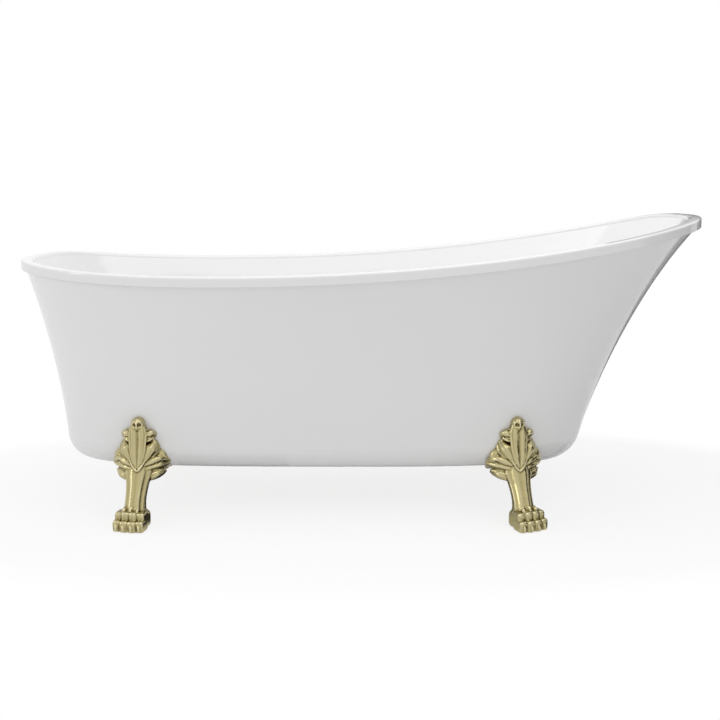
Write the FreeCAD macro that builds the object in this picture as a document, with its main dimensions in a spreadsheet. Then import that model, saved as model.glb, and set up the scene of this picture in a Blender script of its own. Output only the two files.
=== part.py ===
import FreeCAD, Part
import Sketcher
import math
import os
import re

# A clawfoot slipper bathtub: two bonded shells on a steel frame, four cast feet with levellers,
# a click waste and an overflow.
# Frame: +Z up, origin on the floor under the middle of the rim's length, +X to the head end
# (the high backrest), -X to the foot end (waste and overflow). "near" is -Y, "far" is +Y.

V = FreeCAD.Vector
UP = V(0, 0, 1)

os.makedirs("parts", exist_ok=True)
doc = FreeCAD.newDocument("clawfoot_bathtub")
sheet = doc.addObject("Spreadsheet::Sheet", "Sizes")

# Driving dimensions in millimetres, degrees where the note says so, and plain numbers for the
# powers and bends that shape the curves.
SIZES = [
    # rim
    ("tub_length", 1700, "rim, end to end"),
    ("tub_width", 772, "rim, side to side"),
    ("rim_power", 3.12, "superellipse power of the rim's outline"),
    ("rim_low_height", 611, "top of the rim at its lowest point"),
    ("rim_low_inset", 469, "lowest point of the rim, from the foot end"),
    ("foot_rise", 27, "how far the rim rises to the foot end"),
    ("foot_rise_power", 2.29, "power of that rise"),
    ("head_rise", 130.6, "how far the rim rises to the head end"),
    ("head_rise_power", 2.18, "power of that rise"),
    ("rim_width", 30, "from the rim's outer face to the wet wall"),
    ("rim_lip", 23, "height of the rim's outer face"),
    ("rim_wall", 6, "thickness of the rim"),
    ("rim_outer_round", 5.5, "radius of the rim's outer edge"),
    ("rim_inner_round", 10, "radius of the rim's inner edge"),
    # skirt
    ("clearance_under", 121, "floor to the skirt's underside"),
    ("foot_taper", 89, "skirt base in from the rim at the foot end"),
    ("head_taper", 287, "skirt base in from the rim at the head end"),
    ("side_taper", 135, "skirt base in from the rim at each side"),
    ("skirt_power", 3.38, "superellipse power of the skirt's base"),
    ("skirt_egg", 0.017, "how much wider the base is at the head end"),
    ("skirt_corner", 61, "radius of the skirt's lower edge"),
    ("skirt_wall", 5, "thickness of the skirt"),
    ("skirt_inset", 10.5, "skirt in from the rim's outer face"),
    ("skirt_bend_foot", 1.74, "power of the skirt's flare at the foot end"),
    ("skirt_bend_head", 1.35, "the same at the head end"),
    ("skirt_bend_side", 1.58, "the same at the sides"),
    ("skirt_kick_foot", 0, "share of the flare that comes just under the rim, foot end"),
    ("skirt_kick_head", 0.093, "the same at the head end"),
    ("skirt_kick_side", 0.097, "the same at the sides"),
    ("rim_seat_gap", 0.3, "skirt's top edge to the underside of the rim"),
    # basin
    ("basin_wall", 6, "thickness of the basin"),
    ("floor_foot_inset", 121, "wet floor in from the skirt base at the foot end"),
    ("floor_head_inset", 163, "wet floor in from the skirt base at the head end"),
    ("floor_side_inset", 36, "wet floor in from the skirt base at each side"),
    ("floor_power", 3.2, "superellipse power of the floor's outline"),
    ("floor_corner", 70, "radius between the floor and the wall"),
    ("basin_bend_foot", 1.3, "power of the basin's flare at the foot end"),
    ("basin_bend_head", 1.15, "the same at the head end"),
    ("basin_bend_side", 1.45, "the same at the sides"),
    # adhesive bead between the skirt and the basin, under the rim
    ("bead_gap", 0.15, "clearance round the bead"),
    ("bead_width", 7.5, "bead, across"),
    ("bead_height", 10, "bead, up and down"),
    # opening in the skirt's underside
    ("service_inset", 40, "service opening in from the outer cross tubes"),
    ("service_width", 170, "service opening, across"),
    # frame and board
    ("rail_size", 30, "square tube, outside"),
    ("rail_wall", 2, "square tube, wall"),
    ("rail_overhang", 66, "rail past the foot bolts"),
    ("cap_thickness", 3, "plug in a rail's end, outside part"),
    ("cap_plug", 12, "plug in a rail's end, inside part"),
    ("cap_gap", 0.1, "clearance of the plug in the tube"),
    ("cross_inset", 103, "outer cross tubes in from the foot bolts"),
    ("plate_length", 76, "foot plate, outwards"),
    ("plate_width", 52, "foot plate, across"),
    ("plate_thickness", 10, "foot plate"),
    ("board_thickness", 18, "board under the basin"),
    ("board_width", 280, "board, across"),
    ("board_foot_inset", 40, "board in from the floor's foot end"),
    ("board_head_inset", 80, "board in from the floor's head end"),
    ("board_corner", 40, "radius of the board's corners"),
    ("board_hole", 45, "radius of the hole in the board for the waste"),
    ("screw_radius", 2.5, "board screw"),
    ("screw_bite", 12, "board screw in the board"),
    ("screw_head_radius", 5, "board screw's head"),
    ("screw_head_height", 3, "board screw's head"),
    ("screw_inset", 90, "outer board screws in from the foot bolts"),
    # feet
    ("foot_end_inset", 228, "foot bolts in from the skirt base at the foot end"),
    ("head_end_inset", 204, "foot bolts in from the skirt base at the head end"),
    ("foot_side_inset", 134, "foot bolts in from the skirt base at each side"),
    ("foot_end_splay", 3, "degrees that the foot-end feet turn outwards"),
    ("head_end_splay", 11, "degrees that the head-end feet turn outwards"),
    ("foot_gap", 0.4, "foot to the skirt's wall"),
    ("foot_wall", 9, "wall of the hollow castings behind the leaf"),
    ("lug_width", 44, "lug under the skirt, across"),
    ("lug_thickness", 24, "lug under the skirt"),
    ("lug_back", 40, "lug in from the bolt centre"),
    ("leg_top_out", 144, "middle of the leg's top, out from the bolt centre"),
    ("leg_top_width", 62, "leg's top, across"),
    ("leg_top_depth", 54, "leg's top, outwards"),
    ("leg_top_drop", 15, "leg's top under the skirt's underside"),
    ("ankle_out", 184, "middle of the ankle, out from the bolt centre"),
    ("ankle_width", 49, "ankle, across"),
    ("ankle_depth", 46, "ankle, outwards"),
    ("ankle_height", 47, "ankle above the floor"),
    ("paw_width", 80, "paw, across its toes"),
    ("paw_front", 233, "toe tips, out from the bolt centre"),
    ("paw_back", 158, "heel, out from the bolt centre"),
    ("paw_height", 47, "top of the knuckles"),
    ("toe_radius", 11, "toes and knuckles"),
    ("leaf_width", 134, "leaf across its widest lobes"),
    ("leaf_height", 155, "leaf, up and down"),
    ("leaf_rise", 139, "leaf's tip above the skirt's underside"),
    ("leaf_foot_out", 171, "front of the leaf low down, out from the bolt centre"),
    ("leaf_tip_out", 137, "front of the leaf at its tip, out from the bolt centre"),
    ("leaf_side_out", 129, "front of the leaf at its side lobes, out from the bolt centre"),
    # foot bolts
    ("bolt_radius", 5, "foot bolt"),
    ("bolt_gap", 0.5, "foot bolt in its holes"),
    ("bolt_spacing", 52, "between the two bolts of a foot"),
    ("bolt_flats", 17, "across the flats of head and nut"),
    ("bolt_head", 6.4, "height of the bolt's head"),
    ("bolt_past_nut", 4, "bolt's end past the nut"),
    ("nut_height", 8.4, "foot nut"),
    ("washer_radius", 10, "foot washer"),
    ("washer_thickness", 2, "foot washer"),
    # levellers
    ("leveller_out", 188, "leveller, out from the bolt centre"),
    ("stud_radius", 6, "leveller stud"),
    ("stud_length", 48, "leveller stud above its collar"),
    ("thread_gap", 0.05, "leveller stud in its insert"),
    ("collar_radius", 9, "collar at the stud's foot"),
    ("collar_height", 3, "collar at the stud's foot"),
    ("collar_gap", 0.3, "collar in the pad's socket"),
    ("pad_radius", 18, "leveller pad"),
    ("pad_height", 8, "leveller pad"),
    ("pad_base", 4, "leveller pad under the stud"),
    ("pad_floor_gap", 0.3, "pad above the floor when screwed in"),
    ("pad_recess_gap", 1.7, "pad in the recess of the paw"),
    ("insert_radius", 10, "threaded insert"),
    ("insert_length", 24, "threaded insert"),
    ("stud_bore_gap", 1, "stud in the bore above the insert"),
    ("stud_top_gap", 3, "end of the bore above the stud"),
    # waste
    ("drain_inset", 115, "waste centre in from the wet floor's foot end"),
    ("drain_skirt_hole", 40, "radius of the hole in the skirt's underside"),
    ("flange_radius", 36, "waste flange"),
    ("flange_rise", 3, "waste flange above the floor"),
    ("flange_edge", 1.5, "waste flange's edge"),
    ("seat_radius", 27.6, "seat of the seal"),
    ("seat_rise", 1, "seat of the seal above the floor"),
    ("throat_radius", 18, "throat of the flange"),
    ("tube_radius", 20, "threaded tube of the flange"),
    ("tube_drop", 22, "threaded tube below the wet floor"),
    ("floor_hole_gap", 1, "threaded tube in the floor's hole"),
    ("hub_radius", 11, "hub of the flange's spider"),
    ("hub_drop", 8, "hub's top below the wet floor"),
    ("hub_height", 11, "hub"),
    ("arm_width", 3, "spider arm, across"),
    ("arm_height", 6, "spider arm, up and down"),
    ("cartridge_radius", 8, "click cartridge"),
    ("cartridge_lip", 1.5, "flange of the click cartridge"),
    ("stem_radius", 5, "stopper stem"),
    ("stem_gap", 0.05, "stopper stem in the cartridge"),
    ("stem_drop", 28, "end of the stem below the wet floor"),
    ("cap_radius", 27, "stopper cap"),
    ("cap_edge", 2, "stopper cap's edge"),
    ("cap_dome", 3, "dome of the stopper cap"),
    ("seal_radius", 25, "stopper seal"),
    ("seal_thickness", 2, "stopper seal"),
    ("gasket_radius", 31, "gasket under the floor"),
    ("gasket_thickness", 3, "gaskets"),
    ("body_flange_radius", 32, "waste body's flange"),
    ("body_flange", 4, "waste body's flange"),
    ("body_radius", 25, "waste body"),
    ("body_throat", 17, "waste body's passage"),
    ("body_drop", 62, "end of the waste body's barrel below the wet floor"),
    ("spigot_radius", 23, "threaded spigot for the tailpiece"),
    ("spigot_length", 14, "threaded spigot for the tailpiece"),
    ("tail_radius", 19.05, "tailpiece, outside"),
    ("tail_wall", 1.5, "tailpiece"),
    ("tail_gap", 0.1, "pipes in their sockets"),
    ("tail_stub", 35, "tailpiece below its stop bead"),
    ("tail_bead", 2, "stop bead of the tailpiece, up and down"),
    ("tail_bead_rise", 1.5, "stop bead over the tailpiece"),
    ("tail_bead_gap", 2, "stop bead to the slip nut"),
    ("tail_socket", 18, "tailpiece inside the waste body"),
    ("nut_wall", 4, "slip nut over its thread"),
    ("nut_shoulder", 3, "slip nut's end"),
    ("slip_washer", 3, "slip washer"),
    ("nut_grip", 10, "slip nut on its thread"),
    ("inlet_drop", 44, "overflow inlet's middle below the wet floor"),
    ("inlet_radius", 15, "overflow inlet and outlet, outside"),
    ("inlet_length", 36, "overflow inlet's end, from the waste centre"),
    # overflow
    ("overflow_height", 520, "overflow's middle above the floor"),
    ("overflow_hole", 22, "radius of the hole in the wall"),
    ("overflow_seat_gap", 0.5, "flat parts to the curved wall"),
    ("cover_radius", 36, "overflow cover"),
    ("cover_depth", 10, "overflow cover"),
    ("cover_wall", 2.5, "overflow cover"),
    ("cover_round", 4, "overflow cover's edge"),
    ("cover_notch", 40, "inlet slot of the cover"),
    ("cup_flange_radius", 30, "overflow body's flange"),
    ("cup_flange", 4, "overflow body's flange"),
    ("cup_radius", 24, "overflow body"),
    ("cup_depth", 24, "overflow body with its flange"),
    ("cup_wall", 3, "overflow body"),
    ("boss_radius", 5.5, "screw boss in the overflow body"),
    ("boss_depth", 12, "screw boss below the cup's mouth"),
    ("cover_screw_radius", 3, "overflow screw"),
    ("cover_screw_length", 38, "overflow screw under its head"),
    ("cover_screw_head", 5, "radius of the overflow screw's head"),
    ("cover_screw_rise", 2.5, "height of the overflow screw's head"),
    ("outlet_length", 44, "overflow outlet's end, from the cup's axis"),
    ("pipe_radius", 12.5, "overflow pipe, outside"),
    ("pipe_wall", 1.5, "overflow pipe"),
    ("pipe_socket", 8, "overflow pipe inside its sockets"),
    ("pipe_bend", 55, "radius of the pipe's bends, on its middle line"),
    ("pipe_knee_height", 330, "height of the upper bend"),
    ("pipe_heel_inset", 71, "lower bend in from the skirt base at the foot end"),
]

for row, (alias, amount, note) in enumerate(SIZES, start=1):
    sheet.set(f"A{row}", alias)
    sheet.set(f"B{row}", str(amount))
    sheet.setAlias(f"B{row}", alias)
    sheet.set(f"C{row}", note)
doc.recompute()

ALIASES = {alias for alias, _, _ in SIZES}

# Levels and places that follow from the driving dimensions, written once.
HALF_LENGTH = "(tub_length / 2)"
SKIRT_LEFT = f"(foot_taper - {HALF_LENGTH})"
SKIRT_RIGHT = f"({HALF_LENGTH} - head_taper)"
SKIRT_HALF = "(tub_width / 2 - side_taper)"
FLOOR_LEFT = f"({SKIRT_LEFT} + floor_foot_inset)"
FLOOR_RIGHT = f"({SKIRT_RIGHT} - floor_head_inset)"
FLOOR_HALF = f"({SKIRT_HALF} - floor_side_inset)"
PLATE_BOTTOM = "(clearance_under + skirt_wall)"
RAIL_BOTTOM = f"({PLATE_BOTTOM} + plate_thickness)"
BOARD_BOTTOM = f"({RAIL_BOTTOM} + rail_size)"
FLOOR_UNDER = f"({BOARD_BOTTOM} + board_thickness)"
FLOOR_TOP = f"({FLOOR_UNDER} + basin_wall)"
BOLTS_X = {"foot_end": f"({SKIRT_LEFT} + foot_end_inset)", "head_end": f"({SKIRT_RIGHT} - head_end_inset)"}
BOLTS_Y = f"({SKIRT_HALF} - foot_side_inset)"
DRAIN_X = f"({FLOOR_LEFT} + drain_inset)"
PAD_TOP = "(pad_floor_gap + pad_height)"
RECESS_TOP = f"({PAD_TOP} + pad_recess_gap)"

parts = {}


def with_sheet(expression):
    """The expression with the sheet's name put before each alias."""
    return re.sub(r"[a-z_]+", lambda m: "Sizes." + m[0] if m[0] in ALIASES else m[0], expression)


def number(expression):
    """The value of an expression of aliases, for curves and solids made in code."""
    return float(sheet.evalExpression(with_sheet(expression)))


def bind(thing, **sizes):
    """Tie properties of a document object to expressions of aliases."""
    for name, expression in sizes.items():
        thing.setExpression(name, with_sheet(expression))
    return thing


def place(thing, x="0", y="0", z="0", turn="0"):
    """Tie an object's position, and its turn about Z in degrees, to expressions."""
    thing.setExpression("Placement.Base.x", with_sheet(x))
    thing.setExpression("Placement.Base.y", with_sheet(y))
    thing.setExpression("Placement.Base.z", with_sheet(z))
    if turn != "0":
        thing.Placement.Rotation = FreeCAD.Rotation(UP, 1)
        thing.setExpression("Placement.Rotation.Angle", with_sheet(turn))
    return thing


def part(node, thing):
    """Register a finished sub-part under its node name."""
    thing.Label = node
    parts[node] = thing
    return thing


def cylinder(name, radius, height):
    return bind(doc.addObject("Part::Cylinder", name), Radius=radius, Height=height)


def box(name, length, width, height):
    return bind(doc.addObject("Part::Box", name), Length=length, Width=width, Height=height)


def hexagon(name, flats, height):
    """A hexagonal prism of this width across its flats."""
    prism = doc.addObject("Part::Prism", name)
    prism.Polygon = 6
    return bind(prism, Circumradius=f"{flats} / 2 / cos(30)", Height=height)


def cut(name, base, *tools):
    """The base less every tool."""
    for count, tool in enumerate(tools, start=1):
        piece = doc.addObject("Part::Cut", name if count == len(tools) else f"{name}_cut_{count}")
        piece.Base = base
        piece.Tool = tool
        base = piece
    return base


def fuse(name, *pieces):
    joined = doc.addObject("Part::MultiFuse", name)
    joined.Shapes = list(pieces)
    return joined


def group(name, pieces):
    """Loose copies of one piece that share a node."""
    together = doc.addObject("Part::Compound", name)
    together.Links = pieces
    return together


def sketch_outline(body, role, corners):
    """A closed sketch of straight lines, each corner tied to a pair of expressions."""
    sketch = body.newObject("Sketcher::SketchObject", body.Name + "_sketch")
    plane = next(item for item in body.Origin.OriginFeatures if item.Role == role)
    sketch.AttachmentSupport = (plane, [""])
    sketch.MapMode = "FlatFace"
    points = [V(number(across), number(along), 0) for across, along in corners]
    count = len(points)
    for index in range(count):
        sketch.addGeometry(Part.LineSegment(points[index], points[(index + 1) % count]), False)
    for index in range(count):
        sketch.addConstraint(Sketcher.Constraint("Coincident", index, 2, (index + 1) % count, 1))
    for index, pair in enumerate(corners):
        for kind, expression in zip(("DistanceX", "DistanceY"), pair):
            constraint = Sketcher.Constraint(kind, -1, 1, index, 1, number(expression))
            place_in_list = sketch.addConstraint(constraint)
            sketch.setExpression(f"Constraints[{place_in_list}]", with_sheet(expression))
    return sketch


def turned(name, profile):
    """A body of revolution about its Z axis from (radius, height) corners."""
    body = doc.addObject("PartDesign::Body", name)
    sketch = sketch_outline(body, "XZ_Plane", profile)
    revolution = body.newObject("PartDesign::Revolution", name + "_turned")
    revolution.Profile = sketch
    revolution.ReferenceAxis = (sketch, ["V_Axis"])
    revolution.Angle = 360
    body.Tip = revolution
    return body


def ring(name, inner, outer, height):
    return turned(name, [(inner, "0"), (outer, "0"), (outer, height), (inner, height)])


class Corner:
    """One foot's place: its bolt centre, and the way that it faces."""

    def __init__(self, end, side):
        self.name = f"{end}_{'near' if side < 0 else 'far'}"
        self.end = 1 if end == "head_end" else -1
        self.side = side
        self.splay = f"{end}_splay"
        self.x = BOLTS_X[end]
        self.y = f"({side} * {BOLTS_Y})"
        self.turn = f"{self.end} * {self.splay}" if side < 0 else f"180 - {self.end} * {self.splay}"

    def frame(self):
        """The placement of the bolt centre, with -Y outwards."""
        turn = FreeCAD.Rotation(UP, number(self.turn))
        return FreeCAD.Placement(V(number(self.x), number(self.y), 0), turn)

    def put(self, thing, out, z):
        """Place a thing this far out from the bolt centre, turned with the foot."""
        x = f"{self.x} + {self.end} * sin({self.splay}) * ({out})"
        y = f"{self.y} + {self.side} * cos({self.splay}) * ({out})"
        return place(thing, x, y, z, self.turn)


CORNERS = [Corner(end, side) for end in ("foot_end", "head_end") for side in (-1, 1)]

# ---------------------------------------------------------------- shells

STATIONS = 48  # points round each outline
CORNER_STEPS = 6
WALL_STEPS = 12
ROUND_STEPS = 5


class Shell:
    """One wall of the tub: a floor outline that flares up to the rim."""

    def __init__(self, left, right, half, power, egg, floor, corner, bends, kicks, inset, drop):
        self.left, self.right, self.half = number(left), number(right), number(half)
        self.power, self.egg = number(power), number(egg)
        self.floor, self.corner = number(floor), number(corner)
        self.bends = [number(bend) for bend in bends]  # foot end, head end, side
        self.kicks = [number(kick) for kick in kicks]
        self.inset, self.drop = number(inset), number(drop)  # top edge, from the rim's outer edge


def superellipse(angle, left, right, half, power, egg, inset):
    """A point of the outline at this angle, moved inwards along the outline's normal."""

    def on_curve(at):
        across, along = math.cos(at), math.sin(at)
        scale = (abs(across) ** power + abs(along) ** power) ** (-1 / power)
        x = (left + right) / 2 + (right - left) / 2 * across * scale
        return V(x, half * (1 + egg * across * scale) * along * scale, 0)

    small = 1e-4
    tangent = on_curve(angle + small) - on_curve(angle - small)
    tangent.normalize()
    return on_curve(angle) + V(-tangent.y, tangent.x, 0) * inset


def rim_point(angle, inset, drop):
    """A point of the rim, this far inside its outer face and below its top."""
    half_length = number(HALF_LENGTH)
    ring_sizes = (-half_length, half_length, number("tub_width") / 2, number("rim_power"), 0)
    edge = superellipse(angle, *ring_sizes, 0)
    low_x = number("rim_low_inset") - half_length
    if edge.x < low_x:
        share = (low_x - edge.x) / (low_x + half_length)
        rise = number("foot_rise") * share ** number("foot_rise_power")
    else:
        share = (edge.x - low_x) / (half_length - low_x)
        rise = number("head_rise") * share ** number("head_rise_power")
    point = superellipse(angle, *ring_sizes, inset)
    point.z = number("rim_low_height") + rise - drop
    return point


def blend(angle, values):
    """A value between those of the foot end, the head end and the side."""
    foot, head, side = values
    end = head if math.cos(angle) > 0 else foot
    return side + (end - side) * math.cos(angle) ** 2


def wall_point(shell, angle, height, outward=0):
    """A point of the shell's wall at this angle and height, moved outwards if asked."""
    top = rim_point(angle, shell.inset, shell.drop)
    rise = height - shell.floor
    inset = 0
    if rise < shell.corner:
        inset = shell.corner - math.sqrt(max(0, shell.corner ** 2 - (shell.corner - rise) ** 2))
    outline = (shell.left, shell.right, shell.half, shell.power, shell.egg)
    share = rise / (top.z - shell.floor)
    kick = blend(angle, shell.kicks)
    flare = (1 - kick) * share ** blend(angle, shell.bends) + kick * share ** 6
    base = superellipse(angle, *outline, 0)
    point = superellipse(angle, *outline, inset - outward) + (V(top.x, top.y, 0) - base) * flare
    point.z = height
    return point


def wall_section(shell, corner_turn=None, share=None):
    """Points round the wall: in its lower corner at a turn in radians, or up the wall by a share."""
    points = []
    for station in range(STATIONS):
        angle = 2 * math.pi * station / STATIONS
        if share is None:
            height = shell.floor + shell.corner * (1 - math.cos(corner_turn))
        else:
            start = shell.floor + shell.corner
            height = start + (rim_point(angle, 0, shell.drop).z - start) * share
        points.append(wall_point(shell, angle, height))
    return points


def rim_section(inset, drop):
    return [rim_point(2 * math.pi * station / STATIONS, inset, drop) for station in range(STATIONS)]


def closed_wire(points):
    """A smooth closed curve through points, with the same knots for every section."""
    curve = Part.BSplineCurve()
    knots = [index / len(points) for index in range(len(points) + 1)]
    curve.interpolate(Points=points, PeriodicFlag=True, Parameters=knots)
    return Part.Wire([curve.toShape()])


def wall_wires(shell):
    """Wires up the shell's lower corner, and from there up its wall to its top edge."""
    turns = [math.pi / 2 * step / CORNER_STEPS for step in range(CORNER_STEPS)]
    corner = [closed_wire(wall_section(shell, corner_turn=turn)) for turn in turns]
    wall = [closed_wire(wall_section(shell, share=step / WALL_STEPS)) for step in range(WALL_STEPS + 1)]
    return corner + wall[:1], wall


def skin(wires, ruled=False):
    return Part.makeLoft(wires, False, ruled, False, 5).Faces


def closed_solid(faces):
    shell = Part.makeShell(faces)
    shell.sewShape()
    solid = Part.makeSolid(shell)
    return solid.reversed() if solid.Volume < 0 else solid


def solid_feature(name, shape):
    feature = doc.addObject("Part::Feature", name)
    feature.Shape = shape
    return feature


KICKS = ("skirt_kick_foot", "skirt_kick_head", "skirt_kick_side")
SKIRT_BENDS = ("skirt_bend_foot", "skirt_bend_head", "skirt_bend_side")
BASIN_BENDS = ("basin_bend_foot", "basin_bend_head", "basin_bend_side")
STRAIGHT = ("0", "0", "0")

skirt_outer = Shell(SKIRT_LEFT, SKIRT_RIGHT, SKIRT_HALF, "skirt_power", "skirt_egg",
                    "clearance_under", "skirt_corner", SKIRT_BENDS, KICKS, "skirt_inset", "rim_lip")
skirt_inner = Shell(f"{SKIRT_LEFT} + skirt_wall", f"{SKIRT_RIGHT} - skirt_wall", f"{SKIRT_HALF} - skirt_wall",
                    "skirt_power", "skirt_egg", PLATE_BOTTOM, "skirt_corner - skirt_wall",
                    SKIRT_BENDS, KICKS, "skirt_inset + skirt_wall", "rim_lip")
basin_wet = Shell(FLOOR_LEFT, FLOOR_RIGHT, FLOOR_HALF, "floor_power", "0", FLOOR_TOP, "floor_corner",
                  BASIN_BENDS, STRAIGHT, "rim_width", "rim_inner_round")
basin_back = Shell(f"{FLOOR_LEFT} - basin_wall", f"{FLOOR_RIGHT} + basin_wall", f"{FLOOR_HALF} + basin_wall",
                   "floor_power", "0", FLOOR_UNDER, "floor_corner + basin_wall",
                   BASIN_BENDS, STRAIGHT, "rim_width - basin_wall", "rim_inner_round")


def skirt_blank():
    """The skirt before its holes are cut."""
    collar_drop = number("rim_wall + rim_seat_gap")
    outer_corner, outer = wall_wires(skirt_outer)
    inner_corner, inner = wall_wires(skirt_inner)
    outer_top = closed_wire(rim_section(skirt_outer.inset, collar_drop))
    inner_top = closed_wire(rim_section(skirt_inner.inset, collar_drop))
    faces = skin(outer_corner) + skin(outer) + skin(inner_corner) + skin(inner)
    faces += skin([outer[-1], outer_top], True) + skin([inner[-1], inner_top], True)
    faces += skin([outer_top, inner_top], True)
    faces += [Part.Face(outer_corner[0]), Part.Face(inner_corner[0])]
    return closed_solid(faces)


def rim_rounds(middle_inset, radius, first, last):
    """Wires of a rounded edge of the rim, between two turns in degrees from the inside."""
    wires = []
    for step in range(ROUND_STEPS + 1):
        turn = math.radians(first + (last - first) * step / ROUND_STEPS)
        inset = middle_inset + radius * math.cos(turn)
        wires.append(closed_wire(rim_section(inset, radius - radius * math.sin(turn))))
    return wires


def basin_blank():
    """The basin before its holes are cut: wet wall, rim, lip and back."""
    outer_radius, inner_radius = number("rim_outer_round"), number("rim_inner_round")
    lip, wall = number("rim_lip"), number("rim_wall")
    wet_corner, wet = wall_wires(basin_wet)
    back_corner, back = wall_wires(basin_back)
    inner_round = rim_rounds(number("rim_width") - inner_radius, inner_radius, 0, 90)
    outer_round = rim_rounds(outer_radius, outer_radius, 90, 180)
    inner_round[0] = wet[-1]
    lip_outer = closed_wire(rim_section(0, lip))
    lip_inner = closed_wire(rim_section(wall, lip))
    under_lip = closed_wire(rim_section(wall, wall))
    under_wall = closed_wire(rim_section(basin_back.inset, wall))
    faces = skin(wet_corner) + skin(wet) + skin(inner_round) + skin([inner_round[-1], outer_round[0]], True)
    faces += skin(outer_round)
    edge = [outer_round[-1], lip_outer, lip_inner, under_lip, under_wall, back[-1]]
    for upper, lower in zip(edge, edge[1:]):
        faces += skin([upper, lower], True)
    faces += skin(back_corner) + skin(back) + [Part.Face(wet_corner[0]), Part.Face(back_corner[0])]
    return closed_solid(faces)


def bead_ring():
    """The adhesive bead: a ring that fills the gap between the skirt's collar and the basin."""
    gap = number("bead_gap")
    near, far = number("skirt_inset + skirt_wall") + gap, number("skirt_inset + skirt_wall + bead_width")
    high, low = number("rim_wall") + gap, number("rim_wall + bead_height")
    corners = [(near, high), (far, high), (far, low), (near, low)]
    wires = [closed_wire(rim_section(*corner)) for corner in corners]
    faces = []
    for index, wire in enumerate(wires):
        faces += skin([wire, wires[(index + 1) % len(wires)]], True)
    return closed_solid(faces)


def overflow_frame():
    """Where the overflow sits: on the wet wall of the foot end, Z into the tub, X down the wall."""
    height = number("overflow_height")
    middle = wall_point(basin_wet, math.pi, height)
    slope = wall_point(basin_wet, math.pi, height + 1) - wall_point(basin_wet, math.pi, height - 1)
    normal = V(slope.z, 0, -slope.x)
    normal.normalize()
    across = V(0, 1, 0)
    turn = FreeCAD.Rotation(across.cross(normal), across, normal, "ZYX")
    return FreeCAD.Placement(V(middle.x, 0, height), turn)


def on_wall(thing, out):
    """Place a thing on the overflow's axis, this far into the tub from the wet wall."""
    thing.Placement = overflow_frame().multiply(FreeCAD.Placement(V(0, 0, out), FreeCAD.Rotation()))
    return thing


def shells():
    """Basin, skirt and the bead between them."""
    floor_hole = cylinder("floor_hole", "tube_radius + floor_hole_gap", "floor_corner")
    place(floor_hole, DRAIN_X, "0", f"{FLOOR_TOP} - floor_corner / 2")
    wall_hole = cylinder("overflow_wall_hole", "overflow_hole", "overflow_hole * 2")
    on_wall(wall_hole, -number("overflow_hole"))
    part("basin", cut("basin", solid_feature("basin_blank", basin_blank()), floor_hole, wall_hole))

    tools = [place(cylinder("skirt_drain_hole", "drain_skirt_hole", "skirt_wall * 3"),
                   DRAIN_X, "0", "clearance_under - skirt_wall")]
    for corner in CORNERS:
        for side in (-1, 1):
            name = f"skirt_bolt_hole_{corner.name}_{side + 1}"
            hole = cylinder(name, "bolt_radius + bolt_gap", "skirt_wall * 3")
            tools.append(corner.put(hole, f"{side} * bolt_spacing / 2", "clearance_under - skirt_wall"))
    tools.append(service_opening())
    part("skirt", cut("skirt", solid_feature("skirt_blank", skirt_blank()), *tools))
    part("rim_bond_bead", solid_feature("rim_bond_bead", bead_ring()))


def service_opening():
    """The cutter of the opening under the tub, between the outer cross tubes."""
    start = f"{BOLTS_X['foot_end']} + cross_inset + service_inset"
    end = f"{BOLTS_X['head_end']} - cross_inset - service_inset"
    cutter = box("service_opening", f"{end} - ({start})", "service_width", "skirt_wall * 3")
    return place(cutter, start, "-service_width / 2", "clearance_under - skirt_wall")


# ---------------------------------------------------------------- frame

def square_tube(name, length):
    """A square tube along X from its near lower corner."""
    outside = box(name + "_outside", length, "rail_size", "rail_size")
    bore = "rail_size - 2 * rail_wall"
    inside = box(name + "_inside", f"{length} + 2", bore, bore)
    place(inside, "-1", "rail_wall", "rail_wall")
    return cut(name, outside, inside)


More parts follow.
